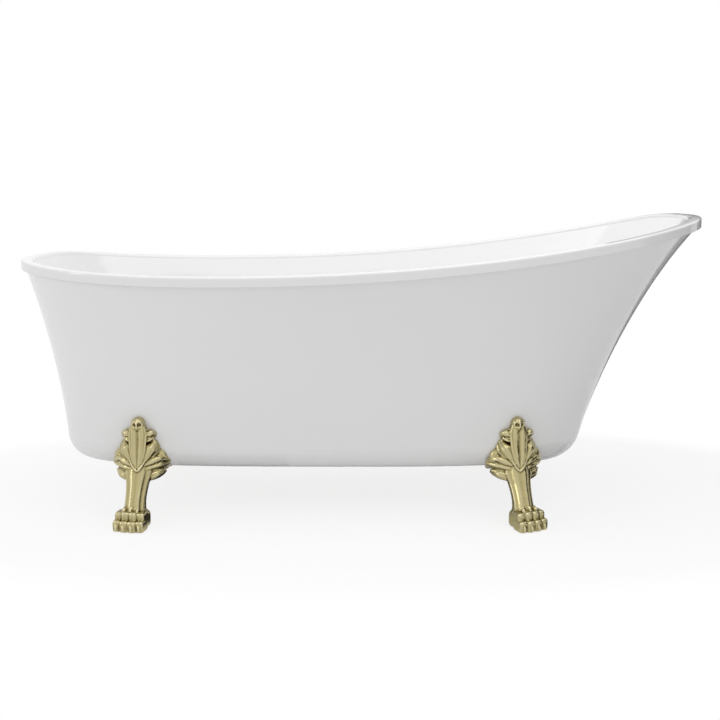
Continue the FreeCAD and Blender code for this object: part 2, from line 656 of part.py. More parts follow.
def frame():
    """Rails, cross tubes, caps, the board and the screws that hold it."""
    start, end = f"({BOLTS_X['foot_end']} - rail_overhang)", f"({BOLTS_X['head_end']} + rail_overhang)"
    screw_start = f"({BOLTS_X['foot_end']} + screw_inset)"
    screw_end = f"({BOLTS_X['head_end']} - screw_inset)"
    screws, caps, holes = [], [], []
    for side, side_name in ((-1, "near"), (1, "far")):
        rail_y = f"({side} * {BOLTS_Y} - rail_size / 2)"
        shanks = []
        for step in range(4):
            name = f"board_screw_{side_name}_{step}"
            x = f"{screw_start} + ({screw_end} - {screw_start}) * {step} / 3"
            shank = cylinder(name + "_shank", "screw_radius", "rail_size + screw_bite")
            head = cylinder(name + "_head", "screw_head_radius", "screw_head_height")
            place(shank, x, f"{side} * {BOLTS_Y}", RAIL_BOTTOM)
            place(head, x, f"{side} * {BOLTS_Y}", f"{RAIL_BOTTOM} - screw_head_height")
            shanks.append(shank)
            screws.append(fuse(name, shank, head))
        holes += shanks
        tube = place(square_tube(f"rail_tube_{side_name}", f"{end} - {start}"), start, rail_y, RAIL_BOTTOM)
        part(f"frame_rail_{side_name}", cut(f"frame_rail_{side_name}", tube, *shanks))
        for x, inward, end_name in ((start, 1, "foot_end"), (end, -1, "head_end")):
            name = f"rail_cap_{end_name}_{side_name}"
            plate = box(name + "_plate", "cap_thickness", "rail_size", "rail_size")
            place(plate, f"{x} - ({1 + inward}) / 2 * cap_thickness", rail_y, RAIL_BOTTOM)
            plug_size = "rail_size - 2 * rail_wall - 2 * cap_gap"
            plug = box(name + "_plug", "cap_plug", plug_size, plug_size)
            place(plug, f"{x} - ({1 - inward}) / 2 * cap_plug", f"{rail_y} + rail_wall + cap_gap",
                  f"{RAIL_BOTTOM} + rail_wall + cap_gap")
            caps.append(fuse(name, plate, plug))
    part("rail_end_caps", group("rail_end_caps", caps))
    part("board_screws", group("board_screws", screws))

    first, last = f"({BOLTS_X['foot_end']} + cross_inset)", f"({BOLTS_X['head_end']} - cross_inset)"
    places = {"foot_end": first, "middle": f"({first} + {last}) / 2", "head_end": last}
    for name, x in places.items():
        tube = square_tube(f"cross_tube_{name}", f"2 * {BOLTS_Y} - rail_size")
        place(tube, f"{x} + rail_size / 2", f"rail_size / 2 - {BOLTS_Y}", RAIL_BOTTOM, "90")
        part(f"cross_tube_{name}", tube)

    board_start = f"({FLOOR_LEFT} + board_foot_inset)"
    board_end = f"({FLOOR_RIGHT} - board_head_inset)"
    body = doc.addObject("PartDesign::Body", "board_blank")
    half = "board_width / 2"
    corners = [(board_start, f"-{half}"), (board_end, f"-{half}"), (board_end, half), (board_start, half)]
    sketch = sketch_outline(body, "XY_Plane", corners)
    pad = bind(body.newObject("PartDesign::Pad", "board_pad"), Length="board_thickness")
    pad.Profile = sketch
    doc.recompute()
    upright = [f"Edge{index}" for index, edge in enumerate(pad.Shape.Edges, start=1)
               if abs(edge.tangentAt(edge.FirstParameter).z) > 0.99]
    fillet = bind(body.newObject("PartDesign::Fillet", "board_corners"), Radius="board_corner")
    fillet.Base = (pad, upright)
    body.Tip = fillet
    place(body, "0", "0", BOARD_BOTTOM)
    drain_hole = place(cylinder("board_drain_hole", "board_hole", "board_thickness * 2"),
                       DRAIN_X, "0", f"{BOARD_BOTTOM} - board_thickness / 2")
    part("base_board", cut("base_board", body, drain_hole, *holes))


def foot_plates():
    """The steel plates welded under the rails, with two bolt holes each."""
    for corner in CORNERS:
        name = f"foot_plate_{corner.name}"
        blank = box(name + "_blank", "plate_width", "plate_length", "plate_thickness")
        place(blank, "-plate_width / 2", "-plate_length / 2", "0")
        holes = []
        for side in (-1, 1):
            hole = cylinder(f"{name}_hole_{side + 1}", "bolt_radius + bolt_gap", "plate_thickness * 2")
            holes.append(place(hole, "0", f"{side} * bolt_spacing / 2", "-plate_thickness / 2"))
        part(name, corner.put(cut(name, blank, *holes), "0", PLATE_BOTTOM))


# ---------------------------------------------------------------- feet

# Half of the leaf's edge from its foot to its tip: share of the half width, share of the height.
LEAF_EDGE = [(0.42, 0.00), (0.70, 0.04), (0.78, 0.13), (0.99, 0.22), (0.93, 0.33), (0.70, 0.42),
             (0.68, 0.52), (0.60, 0.61), (0.50, 0.66), (0.56, 0.74), (0.50, 0.80), (0.30, 0.81),
             (0.24, 0.90), (0.15, 0.975)]
LEG_STEPS = 6
TOES = 4


def leg_section(share):
    """A fluted section of the leg, from 0 at the ankle to 1 at its top, and on into the leaf."""
    ankle, top = number("ankle_height"), number("clearance_under - leg_top_drop")
    ease = max(0, share) ** 1.6

    def between(low, high):
        return number(low) + (number(high) - number(low)) * ease

    half_width = between("ankle_width", "leg_top_width") / 2
    half_depth = between("ankle_depth", "leg_top_depth") / 2
    out = number("ankle_out") + (number("leg_top_out") - number("ankle_out")) * (share * 0.5 + ease * 0.5)
    points = []
    for station in range(STATIONS):
        angle = 2 * math.pi * station / STATIONS
        reach = 1 + 0.03 * math.cos(8 * angle)
        points.append(V(half_width * reach * math.cos(angle), half_depth * reach * math.sin(angle) - out,
                        ankle + (top - ankle) * share))
    return closed_wire(points)


def capsule(start, end, radius):
    """A rod with round ends."""
    run = end - start
    rod = Part.makeCylinder(radius, run.Length, start, run)
    return rod.fuse([Part.makeSphere(radius, start), Part.makeSphere(radius, end)])


def paw():
    """Heel block and four toes, each a knuckle over a claw."""
    width, front, back = number("paw_width"), number("paw_front"), number("paw_back")
    height, toe = number("paw_height"), number("toe_radius")
    block_front = front - 2.4 * toe
    block = Part.makeBox(width - 0.5 * toe, block_front - back, height - 0.8 * toe,
                         V(0.25 * toe - width / 2, -block_front, 0))
    long_edges = [edge for edge in block.Edges if edge.Vertexes[0].Z != edge.Vertexes[1].Z]
    block = block.makeFillet(toe * 0.6, long_edges)
    toes = []
    for index in range(TOES):
        across = (width - 2 * toe) * (index / (TOES - 1) - 0.5)
        tuck = 0.5 * toe if index in (0, TOES - 1) else 0
        heel = -(back + toe)
        knuckle, claw = height - toe, toe * 0.9
        toes.append(capsule(V(across, heel, knuckle), V(across, tuck - (front - 2.3 * toe), knuckle), toe))
        toes.append(capsule(V(across, heel, claw), V(across, tuck - (front - toe), claw), toe))
    return [block] + toes


def leaf(shrink=0):
    """The lobed leaf, bellied outwards, before its back is cut to the skirt."""
    half, tall = number("leaf_width / 2") - shrink, number("leaf_height") - 2 * shrink
    top = number("clearance_under + leaf_rise") - shrink
    outs = [number(name) - shrink for name in ("leaf_foot_out", "leaf_tip_out", "leaf_side_out")]
    foot_out, tip_out, side_out = outs
    edge = [V(across * half, 0, top - tall + along * tall) for across, along in LEAF_EDGE]
    mirrored = [V(-point.x, 0, point.z) for point in reversed(edge)]
    outline = edge + [V(0, 0, top)] + mirrored + [V(0, 0, top - tall)]
    curve = Part.BSplineCurve()
    curve.interpolate(Points=outline, PeriodicFlag=True)
    plate = Part.Face(Part.Wire([curve.toShape()])).extrude(V(0, -2 * foot_out, 0))
    bands = []
    for share in (-0.1, 0.15, 0.4, 0.65, 0.85, 1.1):
        front = foot_out + (tip_out - foot_out) * max(0, share) ** 1.2
        height = top - tall + tall * share
        left, right = V(-half * 1.2, -side_out, height), V(half * 1.2, -side_out, height)
        arc = Part.Arc(left, V(0, -front, height), right).toShape()
        corners = [right, V(half * 1.2, -side_out / 2, height), V(-half * 1.2, -side_out / 2, height), left]
        bands.append(Part.Wire([arc] + [Part.makeLine(a, b) for a, b in zip(corners, corners[1:])]))
    return plate.common(Part.makeLoft(bands, True, True))


def claw_foot_blank():
    """The casting in its own frame: bolt centre at the origin, -Y outwards, sole on Z = 0."""
    leg = Part.makeLoft([leg_section(step / LEG_STEPS * 1.5 - 0.25) for step in range(LEG_STEPS + 1)], True)
    under = number("clearance_under")
    lug_height, width = number("lug_thickness"), number("lug_width")
    lug_out = number("leg_top_out")
    lug_corner = V(-width / 2, -lug_out, under - lug_height)
    lug = Part.makeBox(width, lug_out + number("lug_back"), lug_height, lug_corner)
    rise = number("skirt_corner")
    web_back = number("leg_top_out") - number("leg_top_depth")
    web = Part.makeBox(width, lug_out - web_back, rise + lug_height, lug_corner)
    foot = leg.fuse([lug, web, leaf().cut(leaf(number("foot_wall")))] + paw())
    size = 4 * lug_out
    foot = foot.cut(Part.makeBox(size, size, size, V(-size / 2, -size / 2 - lug_out, -size)))
    sole = V(0, -number("leveller_out"), 0)
    recess_top, insert_top = number(RECESS_TOP), number(f"{RECESS_TOP} + insert_length")
    stud_end = number("pad_floor_gap + pad_base + collar_height + stud_length + stud_top_gap")
    bores = [(number("pad_radius + pad_recess_gap"), recess_top), (number("insert_radius"), insert_top),
             (number("stud_radius + stud_bore_gap"), stud_end)]
    foot = foot.cut([Part.makeCylinder(radius, depth, sole) for radius, depth in bores])
    for side in (-1, 1):
        hole = V(0, side * number("bolt_spacing") / 2, under - 2 * lug_height)
        foot = foot.cut(Part.makeCylinder(number("bolt_radius + bolt_gap"), 3 * lug_height, hole))
    return foot


def skirt_clearance(end):
    """Cutters of a near foot's back: the skirt's lower part by one foot, grown by the foot gap."""
    corner, height, gap = skirt_outer.corner, number("leaf_rise") + 20, number("foot_gap")
    away = range(30, 76, 3)  # degrees from the tub's length, where the skirt's outline turns
    angles = [math.radians(180 + turn if end == "foot_end" else 360 - turn) for turn in away]

    def level(rise):
        points = [wall_point(skirt_outer, angle, skirt_outer.floor + rise, gap) for angle in angles]
        curve = Part.BSplineCurve()
        curve.interpolate(Points=points)
        inner = [V(points[-1].x, 0, points[-1].z), V(points[0].x, 0, points[0].z)]
        corners = [points[-1], *inner, points[0]]
        return Part.Wire([curve.toShape()] + [Part.makeLine(a, b) for a, b in zip(corners, corners[1:])])

    turns = [math.pi / 2 * step / CORNER_STEPS for step in range(CORNER_STEPS + 1)]
    lower = [level(corner * (1 - math.cos(turn))) for turn in turns]
    upper = [level(corner + (height - corner) * step / CORNER_STEPS) for step in range(CORNER_STEPS + 1)]
    return [Part.makeLoft(lower, True), Part.makeLoft(upper, True)]


def feet():
    """The castings, each with its back fitted to the skirt; the far ones mirror the near ones."""
    blank = claw_foot_blank()
    for near, far in ((CORNERS[0], CORNERS[1]), (CORNERS[2], CORNERS[3])):
        to_foot = near.frame().inverse().toMatrix()
        end = near.name.replace("_near", "")
        cutters = [cutter.transformGeometry(to_foot) for cutter in skirt_clearance(end)]
        fitted = near.put(solid_feature(f"claw_foot_{near.name}", blank.cut(cutters)), "0", "0")
        part(f"claw_foot_{near.name}", fitted)
        mirrored = doc.addObject("Part::Mirroring", f"claw_foot_{far.name}")
        mirrored.Source = fitted
        mirrored.Normal = V(0, 1, 0)
        part(f"claw_foot_{far.name}", mirrored)


def foot_fasteners():
    """Bolts from below, with a washer under each head and a nut on the plate."""
    bolts, washers, nuts = [], [], []
    seat = "(clearance_under - lug_thickness)"
    plate_top = RAIL_BOTTOM
    for corner in CORNERS:
        for side in (-1, 1):
            name, out = f"{corner.name}_{side + 1}", f"{side} * bolt_spacing / 2"
            head = hexagon(f"bolt_head_{name}", "bolt_flats", "bolt_head")
            corner.put(head, out, f"{seat} - washer_thickness - bolt_head")
            length = f"{plate_top} + nut_height + bolt_past_nut - {seat} + washer_thickness + bolt_head / 2"
            shank = cylinder(f"bolt_shank_{name}", "bolt_radius", length)
            corner.put(shank, out, f"{seat} - washer_thickness - bolt_head / 2")
            bolts.append(fuse(f"foot_bolt_{name}", head, shank))
            washer = ring(f"foot_washer_{name}", "bolt_radius + bolt_gap", "washer_radius",
                          "washer_thickness")
            washers.append(corner.put(washer, out, f"{seat} - washer_thickness"))
            blank = hexagon(f"nut_blank_{name}", "bolt_flats", "nut_height")
            bore = place(cylinder(f"nut_bore_{name}", "bolt_radius", "nut_height * 2"), z="-nut_height / 2")
            nuts.append(corner.put(cut(f"foot_nut_{name}", blank, bore), out, plate_top))
    part("foot_bolts", group("foot_bolts", bolts))
    part("foot_washers", group("foot_washers", washers))
    part("foot_nuts", group("foot_nuts", nuts))


def levellers():
    """A threaded insert, a stud and a pad in each paw."""
    inserts = []
    collar_bottom = "(pad_floor_gap + pad_base)"
    for corner in CORNERS:
        insert = ring(f"leveller_insert_{corner.name}", "stud_radius + thread_gap", "insert_radius",
                      "insert_length")
        inserts.append(corner.put(insert, "leveller_out", RECESS_TOP))
        stud = turned(f"leveller_stud_{corner.name}", [
            ("0", "0"), ("collar_radius", "0"), ("collar_radius", "collar_height"),
            ("stud_radius", "collar_height"), ("stud_radius", "collar_height + stud_length"),
            ("0", "collar_height + stud_length")])
        part(f"leveller_stud_{corner.name}", corner.put(stud, "leveller_out", collar_bottom))
        pad = turned(f"leveller_pad_{corner.name}", [
            ("0", "0"), ("pad_radius", "0"), ("pad_radius", "pad_height"),
            ("collar_radius + collar_gap", "pad_height"), ("collar_radius + collar_gap", "pad_base"),
            ("0", "pad_base")])
        part(f"leveller_pad_{corner.name}", corner.put(pad, "leveller_out", "pad_floor_gap"))
    part("leveller_inserts", group("leveller_inserts", inserts))


# ---------------------------------------------------------------- waste

def slip_joint(name, pipe_radius, port_radius):
    """A slip nut with its washer inside; both start at the nut's outer end and face the port."""
    shoulder = "nut_shoulder"
    nut = turned(f"{name}_nut", [
        (f"{pipe_radius} + tail_gap", "0"), (f"{port_radius} + nut_wall", "0"),
        (f"{port_radius} + nut_wall", f"{shoulder} + slip_washer + nut_grip"),
        (port_radius, f"{shoulder} + slip_washer + nut_grip"), (port_radius, shoulder),
        (f"{pipe_radius} + tail_gap", shoulder)])
    washer = ring(f"{name}_washer", pipe_radius, f"{port_radius} - tail_gap", "slip_washer")
    return nut, washer


def waste():
    """Flange, stopper, gasket, waste body and tailpiece, all on the waste's axis."""
    ring_body = turned("drain_flange_ring", [
        ("throat_radius", "-tube_drop"), ("tube_radius", "-tube_drop"), ("tube_radius", "0"),
        ("flange_radius", "0"), ("flange_radius", "flange_edge"),
        ("flange_radius - flange_rise", "flange_rise"),
        ("seat_radius + flange_rise - seat_rise", "flange_rise"), ("seat_radius", "seat_rise"),
        ("throat_radius", "seat_rise")])
    hub = place(cylinder("drain_hub", "hub_radius", "hub_height"), z="-hub_drop - hub_height")
    arm_length = "2 * (throat_radius + tube_radius) / 2"
    arms = [place(box("drain_arm_x", arm_length, "arm_width", "arm_height"),
                  f"-{arm_length} / 2", "-arm_width / 2", "-hub_drop - arm_height"),
            place(box("drain_arm_y", "arm_width", arm_length, "arm_height"),
                  "-arm_width / 2", f"-{arm_length} / 2", "-hub_drop - arm_height")]
    hub_bore = cylinder("drain_hub_bore", "cartridge_radius", "hub_height * 3")
    place(hub_bore, z="-hub_drop - 2 * hub_height")
    flange = cut("drain_flange", fuse("drain_flange_blank", ring_body, hub, *arms), hub_bore)
    part("drain_flange", place(flange, DRAIN_X, "0", FLOOR_TOP))

    cartridge = turned("stopper_cartridge", [
        ("stem_radius + stem_gap", "-hub_drop - hub_height"),
        ("cartridge_radius", "-hub_drop - hub_height"),
        ("cartridge_radius", "-hub_drop"), ("hub_radius", "-hub_drop"),
        ("hub_radius", "cartridge_lip - hub_drop"), ("stem_radius + stem_gap", "cartridge_lip - hub_drop")])
    part("stopper_cartridge", place(cartridge, DRAIN_X, "0", FLOOR_TOP))

    under_cap = "(seat_rise + seal_thickness)"
    cap = turned("stopper_cap", [
        ("0", "-stem_drop"), ("stem_radius", "-stem_drop"), ("stem_radius", under_cap),
        ("cap_radius", under_cap), ("cap_radius", f"{under_cap} + cap_edge"),
        ("cap_radius * 0.6", f"{under_cap} + cap_edge + cap_dome * 0.8"),
        ("0", f"{under_cap} + cap_edge + cap_dome")])
    part("stopper_cap", place(cap, DRAIN_X, "0", FLOOR_TOP))
    seal = ring("stopper_seal", "stem_radius", "seal_radius", "seal_thickness")
    part("stopper_seal", place(seal, DRAIN_X, "0", f"{FLOOR_TOP} + seat_rise"))

    gasket = ring("drain_gasket", "tube_radius + floor_hole_gap", "gasket_radius", "gasket_thickness")
    part("drain_gasket", place(gasket, DRAIN_X, "0", f"{FLOOR_UNDER} - gasket_thickness"))

    body_top = "(-basin_wall - gasket_thickness)"
    body_end, spigot_end = "-body_drop", "(-body_drop - spigot_length)"
    socket_top = f"({spigot_end} + tail_socket)"
    barrel = turned("waste_barrel", [
        ("tube_radius", body_top), ("body_flange_radius", body_top),
        ("body_flange_radius", f"{body_top} - body_flange"), ("body_radius", f"{body_top} - body_flange"),
        ("body_radius", body_end), ("spigot_radius", body_end), ("spigot_radius", spigot_end),
        ("tail_radius + tail_gap", spigot_end), ("tail_radius + tail_gap", socket_top),
        ("body_throat", socket_top), ("body_throat", "-tube_drop"), ("tube_radius", "-tube_drop")])
    inlet = cylinder("waste_inlet", "inlet_radius", "inlet_length - tail_radius - tail_gap")
    inlet_bore = cylinder("waste_inlet_bore", "pipe_radius + tail_gap", "2 * inlet_length")
    for tube, start in ((inlet, "-tail_radius - tail_gap"), (inlet_bore, "0")):
        tube.Placement = FreeCAD.Placement(V(), FreeCAD.Rotation(UP, V(-1, 0, 0)))
        place(tube, start, "0", "-inlet_drop")
    body = cut("waste_body", fuse("waste_body_blank", barrel, inlet), inlet_bore)
    part("waste_body", place(body, DRAIN_X, "0", FLOOR_TOP))

    bead_top = "(tail_stub + tail_bead)"
    tail_length = f"({bead_top} + tail_bead_gap + nut_shoulder + slip_washer + tail_socket)"
    tail = turned("tailpiece", [
        ("tail_radius - tail_wall", "0"), ("tail_radius", "0"), ("tail_radius", "tail_stub"),
        ("tail_radius + tail_bead_rise", "tail_stub"), ("tail_radius + tail_bead_rise", bead_top),
        ("tail_radius", bead_top), ("tail_radius", tail_length), ("tail_radius - tail_wall", tail_length)])
    part("tailpiece", place(tail, DRAIN_X, "0", f"{FLOOR_TOP} + {socket_top} - {tail_length}"))
    nut, washer = slip_joint("tailpiece", "tail_radius", "spigot_radius")
    washer_end = f"{FLOOR_TOP} + {spigot_end} - slip_washer"
    part("tailpiece_nut", place(nut, DRAIN_X, "0", f"{washer_end} - nut_shoulder"))
    part("tailpiece_washer", place(washer, DRAIN_X, "0", washer_end))


# ---------------------------------------------------------------- overflow

def rounded_path(points, radius):
    """Straight runs joined by tangent arcs."""
    pieces, start = [], points[0]
    for before, corner, after in zip(points, points[1:], points[2:]):
        arriving, leaving = (corner - before).normalize(), (after - corner).normalize()
        half_turn = arriving.getAngle(leaving) / 2
        reach = radius * math.tan(half_turn)
        first, last = corner - arriving * reach, corner + leaving * reach
        inward = (leaving - arriving).normalize()
        middle = corner + inward * (radius / math.cos(half_turn) - radius)
        pieces += [Part.makeLine(start, first), Part.Arc(first, middle, last).toShape()]
        start = last
    pieces.append(Part.makeLine(start, points[-1]))
    return Part.Wire(pieces)


def swept_tube(points, bend, outside, inside):
    """A tube along straight runs and bends."""
    path = rounded_path(points, bend)
    run = points[1] - points[0]
    solids = []
    for radius in (outside, inside):
        rim = Part.Wire(Part.makeCircle(radius, points[0], run))
        solids.append(path.makePipe(Part.Face(rim)))
    return solids[0].cut(solids[1])


def middle_of_gap(height):
    """The middle of the gap between the two shells at the foot end, at this height."""
    inner = wall_point(basin_back, math.pi, height).x
    outer = wall_point(skirt_inner, math.pi, height).x
    return V((inner + outer) / 2, 0, height)


def overflow():
    """Cover and screw in the tub, gasket and body behind the wall, and the pipe to the waste."""
    frame = overflow_frame()
    inwards = frame.Rotation.multVec(UP)
    seat = number("overflow_seat_gap")
    back_wall = wall_point(basin_back, math.pi, frame.Base.z)
    back = -((frame.Base.x - back_wall.x) * inwards.x + seat)
    shell_end = ("cover_radius", "cover_depth - cover_round")
    cover_blank = turned("overflow_cover_blank", [
        ("cover_screw_radius", "cover_depth"), ("cover_radius - cover_round", "cover_depth"), shell_end,
        ("cover_radius", "0"), ("cover_radius - cover_wall", "0"),
        ("cover_radius - cover_wall", "cover_depth - cover_round - cover_wall / 2"),
        ("cover_radius - cover_round - cover_wall / 2", "cover_depth - cover_wall"),
        ("cover_screw_radius", "cover_depth - cover_wall")])
    notch_depth = "cover_depth - cover_round - cover_wall"
    notch = place(box("overflow_cover_notch", "cover_radius", "cover_notch", notch_depth),
                  "cover_radius / 2", "-cover_notch / 2", "-seat_rise")
    part("overflow_cover", on_wall(cut("overflow_cover", cover_blank, notch), seat))
    shank = cylinder("overflow_screw_shank", "cover_screw_radius", "cover_screw_length")
    head = cylinder("overflow_screw_head", "cover_screw_head", "cover_screw_rise")
    place(head, z="cover_screw_length")
    screw = fuse("overflow_screw", shank, head)
    part("overflow_screw", on_wall(screw, seat + number("cover_depth - cover_screw_length")))

    gasket = ring("overflow_gasket", "overflow_hole", "cup_flange_radius", "gasket_thickness")
    part("overflow_gasket", on_wall(gasket, back - number("gasket_thickness")))
    mouth = back - number("gasket_thickness")

    hub = frame.multVec(V(0, 0, mouth - number("cup_flange + cup_depth") / 2))
    knee = middle_of_gap(number("pipe_knee_height"))
    heel = V(number(f"{SKIRT_LEFT} + pipe_heel_inset"), 0, number(f"{FLOOR_TOP} - inlet_drop"))
    port = V(number(f"{DRAIN_X} - inlet_length"), 0, heel.z)
    down = (knee - hub).normalize()
    local = frame.inverse()
    local_hub = V(0, 0, number("-cup_flange / 2 - cup_depth / 2"))
    local_down = local.Rotation.multVec(down)

    cup = turned("overflow_cup", [
        ("0", "0"), ("cup_flange_radius", "0"), ("cup_flange_radius", "-cup_flange"),
        ("cup_radius", "-cup_flange"), ("cup_radius", "-cup_depth"), ("0", "-cup_depth")])
    outlet = cylinder("overflow_outlet", "inlet_radius", "outlet_length")
    outlet_bore = cylinder("overflow_outlet_bore", "pipe_radius + tail_gap", "2 * outlet_length")
    for tube in (outlet, outlet_bore):
        tube.Placement = FreeCAD.Placement(local_hub, FreeCAD.Rotation(UP, local_down))
    cavity = cylinder("overflow_cavity", "cup_radius - cup_wall", "cup_depth")
    place(cavity, z="cup_wall - cup_depth")
    boss = ring("overflow_boss", "cover_screw_radius", "boss_radius", "cup_depth - boss_depth")
    place(boss, z="-cup_depth")
    hollow = cut("overflow_body_hollow", fuse("overflow_body_blank", cup, outlet), cavity, outlet_bore)
    part("overflow_body", on_wall(fuse("overflow_body", hollow, boss), mouth))

    socket = number("pipe_socket")
    pipe_start = hub + down * (number("outlet_length") - socket)
    pipe_end = port + V(socket, 0, 0)
    outside, inside = number("pipe_radius"), number("pipe_radius - pipe_wall")
    tube = swept_tube([pipe_start, knee, heel, pipe_end], number("pipe_bend"), outside, inside)
    part("overflow_pipe", solid_feature("overflow_pipe", tube))

    nuts, washers = [], []
    joints = (("upper", hub + down * number("outlet_length"), down), ("lower", port, V(-1, 0, 0)))
    for name, port_end, away in joints:
        nut, washer = slip_joint(f"overflow_{name}", "pipe_radius", "inlet_radius")
        facing = FreeCAD.Rotation(UP, away * -1)
        nut.Placement = FreeCAD.Placement(port_end + away * number("slip_washer + nut_shoulder"), facing)
        washer.Placement = FreeCAD.Placement(port_end + away * number("slip_washer"), facing)
        nuts.append(nut)
        washers.append(washer)
    part("overflow_nuts", group("overflow_nuts", nuts))
    part("overflow_washers", group("overflow_washers", washers))


# ---------------------------------------------------------------- build

shells()
frame()
foot_plates()
feet()
foot_fasteners()
levellers()
waste()
overflow()
doc.recompute()

for thing in doc.Objects:
    if "Invalid" in thing.State or "Error" in thing.State:
        raise RuntimeError(f"{thing.Label} is {thing.State}")
for node, thing in parts.items():
    if thing.Shape.isNull() or not thing.Shape.isValid():
        raise RuntimeError(f"{node} has no valid shape")
for node, thing in parts.items():
    thing.Shape.exportStep(f"parts/{node}.step")
    print(node, len(thing.Shape.Solids), round(thing.Shape.Volume))
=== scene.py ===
# %% [markdown]
# # A clawfoot slipper bathtub
#
# The bathtub has two glossy white shells, a wet basin and an outer skirt, that meet under a rolled
# rim. It stands on four cast lion-paw feet in brushed champagne gold. The metal frame, the waste and
# the overflow are already modelled as exact solids, so this lesson loads them first and never moves
# them. What is left is what a solid modeller is poor at: carved castings, finishes and light.

import math

import bpy
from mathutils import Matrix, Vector


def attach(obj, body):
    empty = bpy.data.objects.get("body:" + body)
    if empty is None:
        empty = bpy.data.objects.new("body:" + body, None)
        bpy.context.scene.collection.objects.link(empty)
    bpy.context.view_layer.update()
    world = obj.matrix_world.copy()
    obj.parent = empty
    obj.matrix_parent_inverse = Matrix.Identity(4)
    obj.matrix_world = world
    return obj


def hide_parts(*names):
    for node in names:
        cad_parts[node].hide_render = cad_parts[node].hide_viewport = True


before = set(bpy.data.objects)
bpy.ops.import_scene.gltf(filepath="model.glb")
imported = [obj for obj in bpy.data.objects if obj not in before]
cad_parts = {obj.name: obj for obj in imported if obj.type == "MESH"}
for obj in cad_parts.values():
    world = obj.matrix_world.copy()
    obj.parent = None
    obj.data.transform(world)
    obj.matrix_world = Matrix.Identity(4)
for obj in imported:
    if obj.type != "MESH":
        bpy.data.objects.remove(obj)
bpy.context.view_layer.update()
bpy.ops.object.select_all(action="DESELECT")

# %% [markdown]
# ## The camera
#
# The product view looks straight at the long side from a little above the rim. Its place was worked
# out by fitting the rim and the wall of the bathtub to their outlines, so the tub fills the picture
# from edge to edge as it should. A 50 mm lens on a 36 mm sensor is Blender's own default.

# %% Camera
CAMERA_PLACE = (0, -2.618, 0.8125)
CAMERA_TILT = math.radians(9.86)

bpy.ops.object.camera_add(location=CAMERA_PLACE, rotation=(math.pi / 2 - CAMERA_TILT, 0, 0))
camera = bpy.context.object
camera.name = "product_camera"
camera.data.lens = 50
bpy.context.scene.camera = camera
print("camera stands", round(-CAMERA_PLACE[1], 3), "m from the middle of the tub")

# %% [markdown]
# ## Floor and light
#
# White acrylic shows its shape only through gentle steps of grey, so the light is even but not the
# same all round: a large soft lamp overhead makes the rim and the inside the brightest, a narrow one
# stands at the low end, and two dark cards stand past the high end. The camera doesn't see them, but
# they draw the dark edge of the high end. Two more cards lie under the tub, one past each near foot.
# They only show in reflections, where they darken one side of the metal feet.
#
# The background has to be pure white. The world is plain white where the camera, glossy metal or clear
# plastic looks at it, and a little dimmer as a lamp. The floor glows white in the same way. In an oval
# under the tub the glow gives way to the real floor: partly for the camera, so that a faint shadow stays
# and the feet don't float, and almost wholly for reflections, so that the feet mirror a darker floor.

# %% Helpers for node materials
def new_material(name):
    """A material with its nodes, its links and its main shader."""
    material = bpy.data.materials.new(name)
    material.use_nodes = True
    tree = material.node_tree
    return material, tree.nodes, tree.links, tree.nodes["Principled BSDF"]


def seen_directly(nodes, links):
    """A socket that is 1 for rays from the camera, a glossy surface or a clear one, and else 0."""
    path = nodes.new("ShaderNodeLightPath")
    total = path.outputs["Is Camera Ray"]
    for kind in ("Is Glossy Ray", "Is Transmission Ray"):
        either = nodes.new("ShaderNodeMath")
        either.operation = "MAXIMUM"
        links.new(total, either.inputs[0])
        links.new(path.outputs[kind], either.inputs[1])
        total = either.outputs[0]
    return total


# %% Floor
FLOOR_SIZE = 14
bpy.ops.mesh.primitive_plane_add(size=FLOOR_SIZE, location=(0, 0, 0))
floor = bpy.context.object
floor.name = "studio_floor"
floor_paint, nodes, links, shader = new_material("floor_paint")
shader.inputs["Base Color"].default_value = (0.93, 0.93, 0.93, 1)
shader.inputs["Roughness"].default_value = 0.9
shader.inputs["Specular IOR Level"].default_value = 0.1
floor.data.materials.append(floor_paint)
print("floor:", floor.dimensions[:])

# %% The glow of the floor and where it fades
SHADE_FROM, SHADE_TO = 0.3, 1.0
GLOW_IN_REFLECTIONS = 0.05

place = nodes.new("ShaderNodeTexCoord")
oval = nodes.new("ShaderNodeMapping")
oval.inputs["Scale"].default_value = (0.7, 1.3, 0)
away = nodes.new("ShaderNodeVectorMath")
away.operation = "LENGTH"
fade = nodes.new("ShaderNodeMapRange")
fade.inputs["From Min"].default_value = SHADE_FROM
fade.inputs["From Max"].default_value = SHADE_TO
fade.inputs["To Min"].default_value = GLOW_IN_REFLECTIONS
links.new(place.outputs["Object"], oval.inputs["Vector"])
links.new(oval.outputs["Vector"], away.inputs[0])
links.new(away.outputs["Value"], fade.inputs["Value"])
print("the glow fades from", SHADE_TO, "to", SHADE_FROM, "m from the middle")

# %% More glow for the camera, and the mix
GLOW_FOR_CAMERA = 0.82

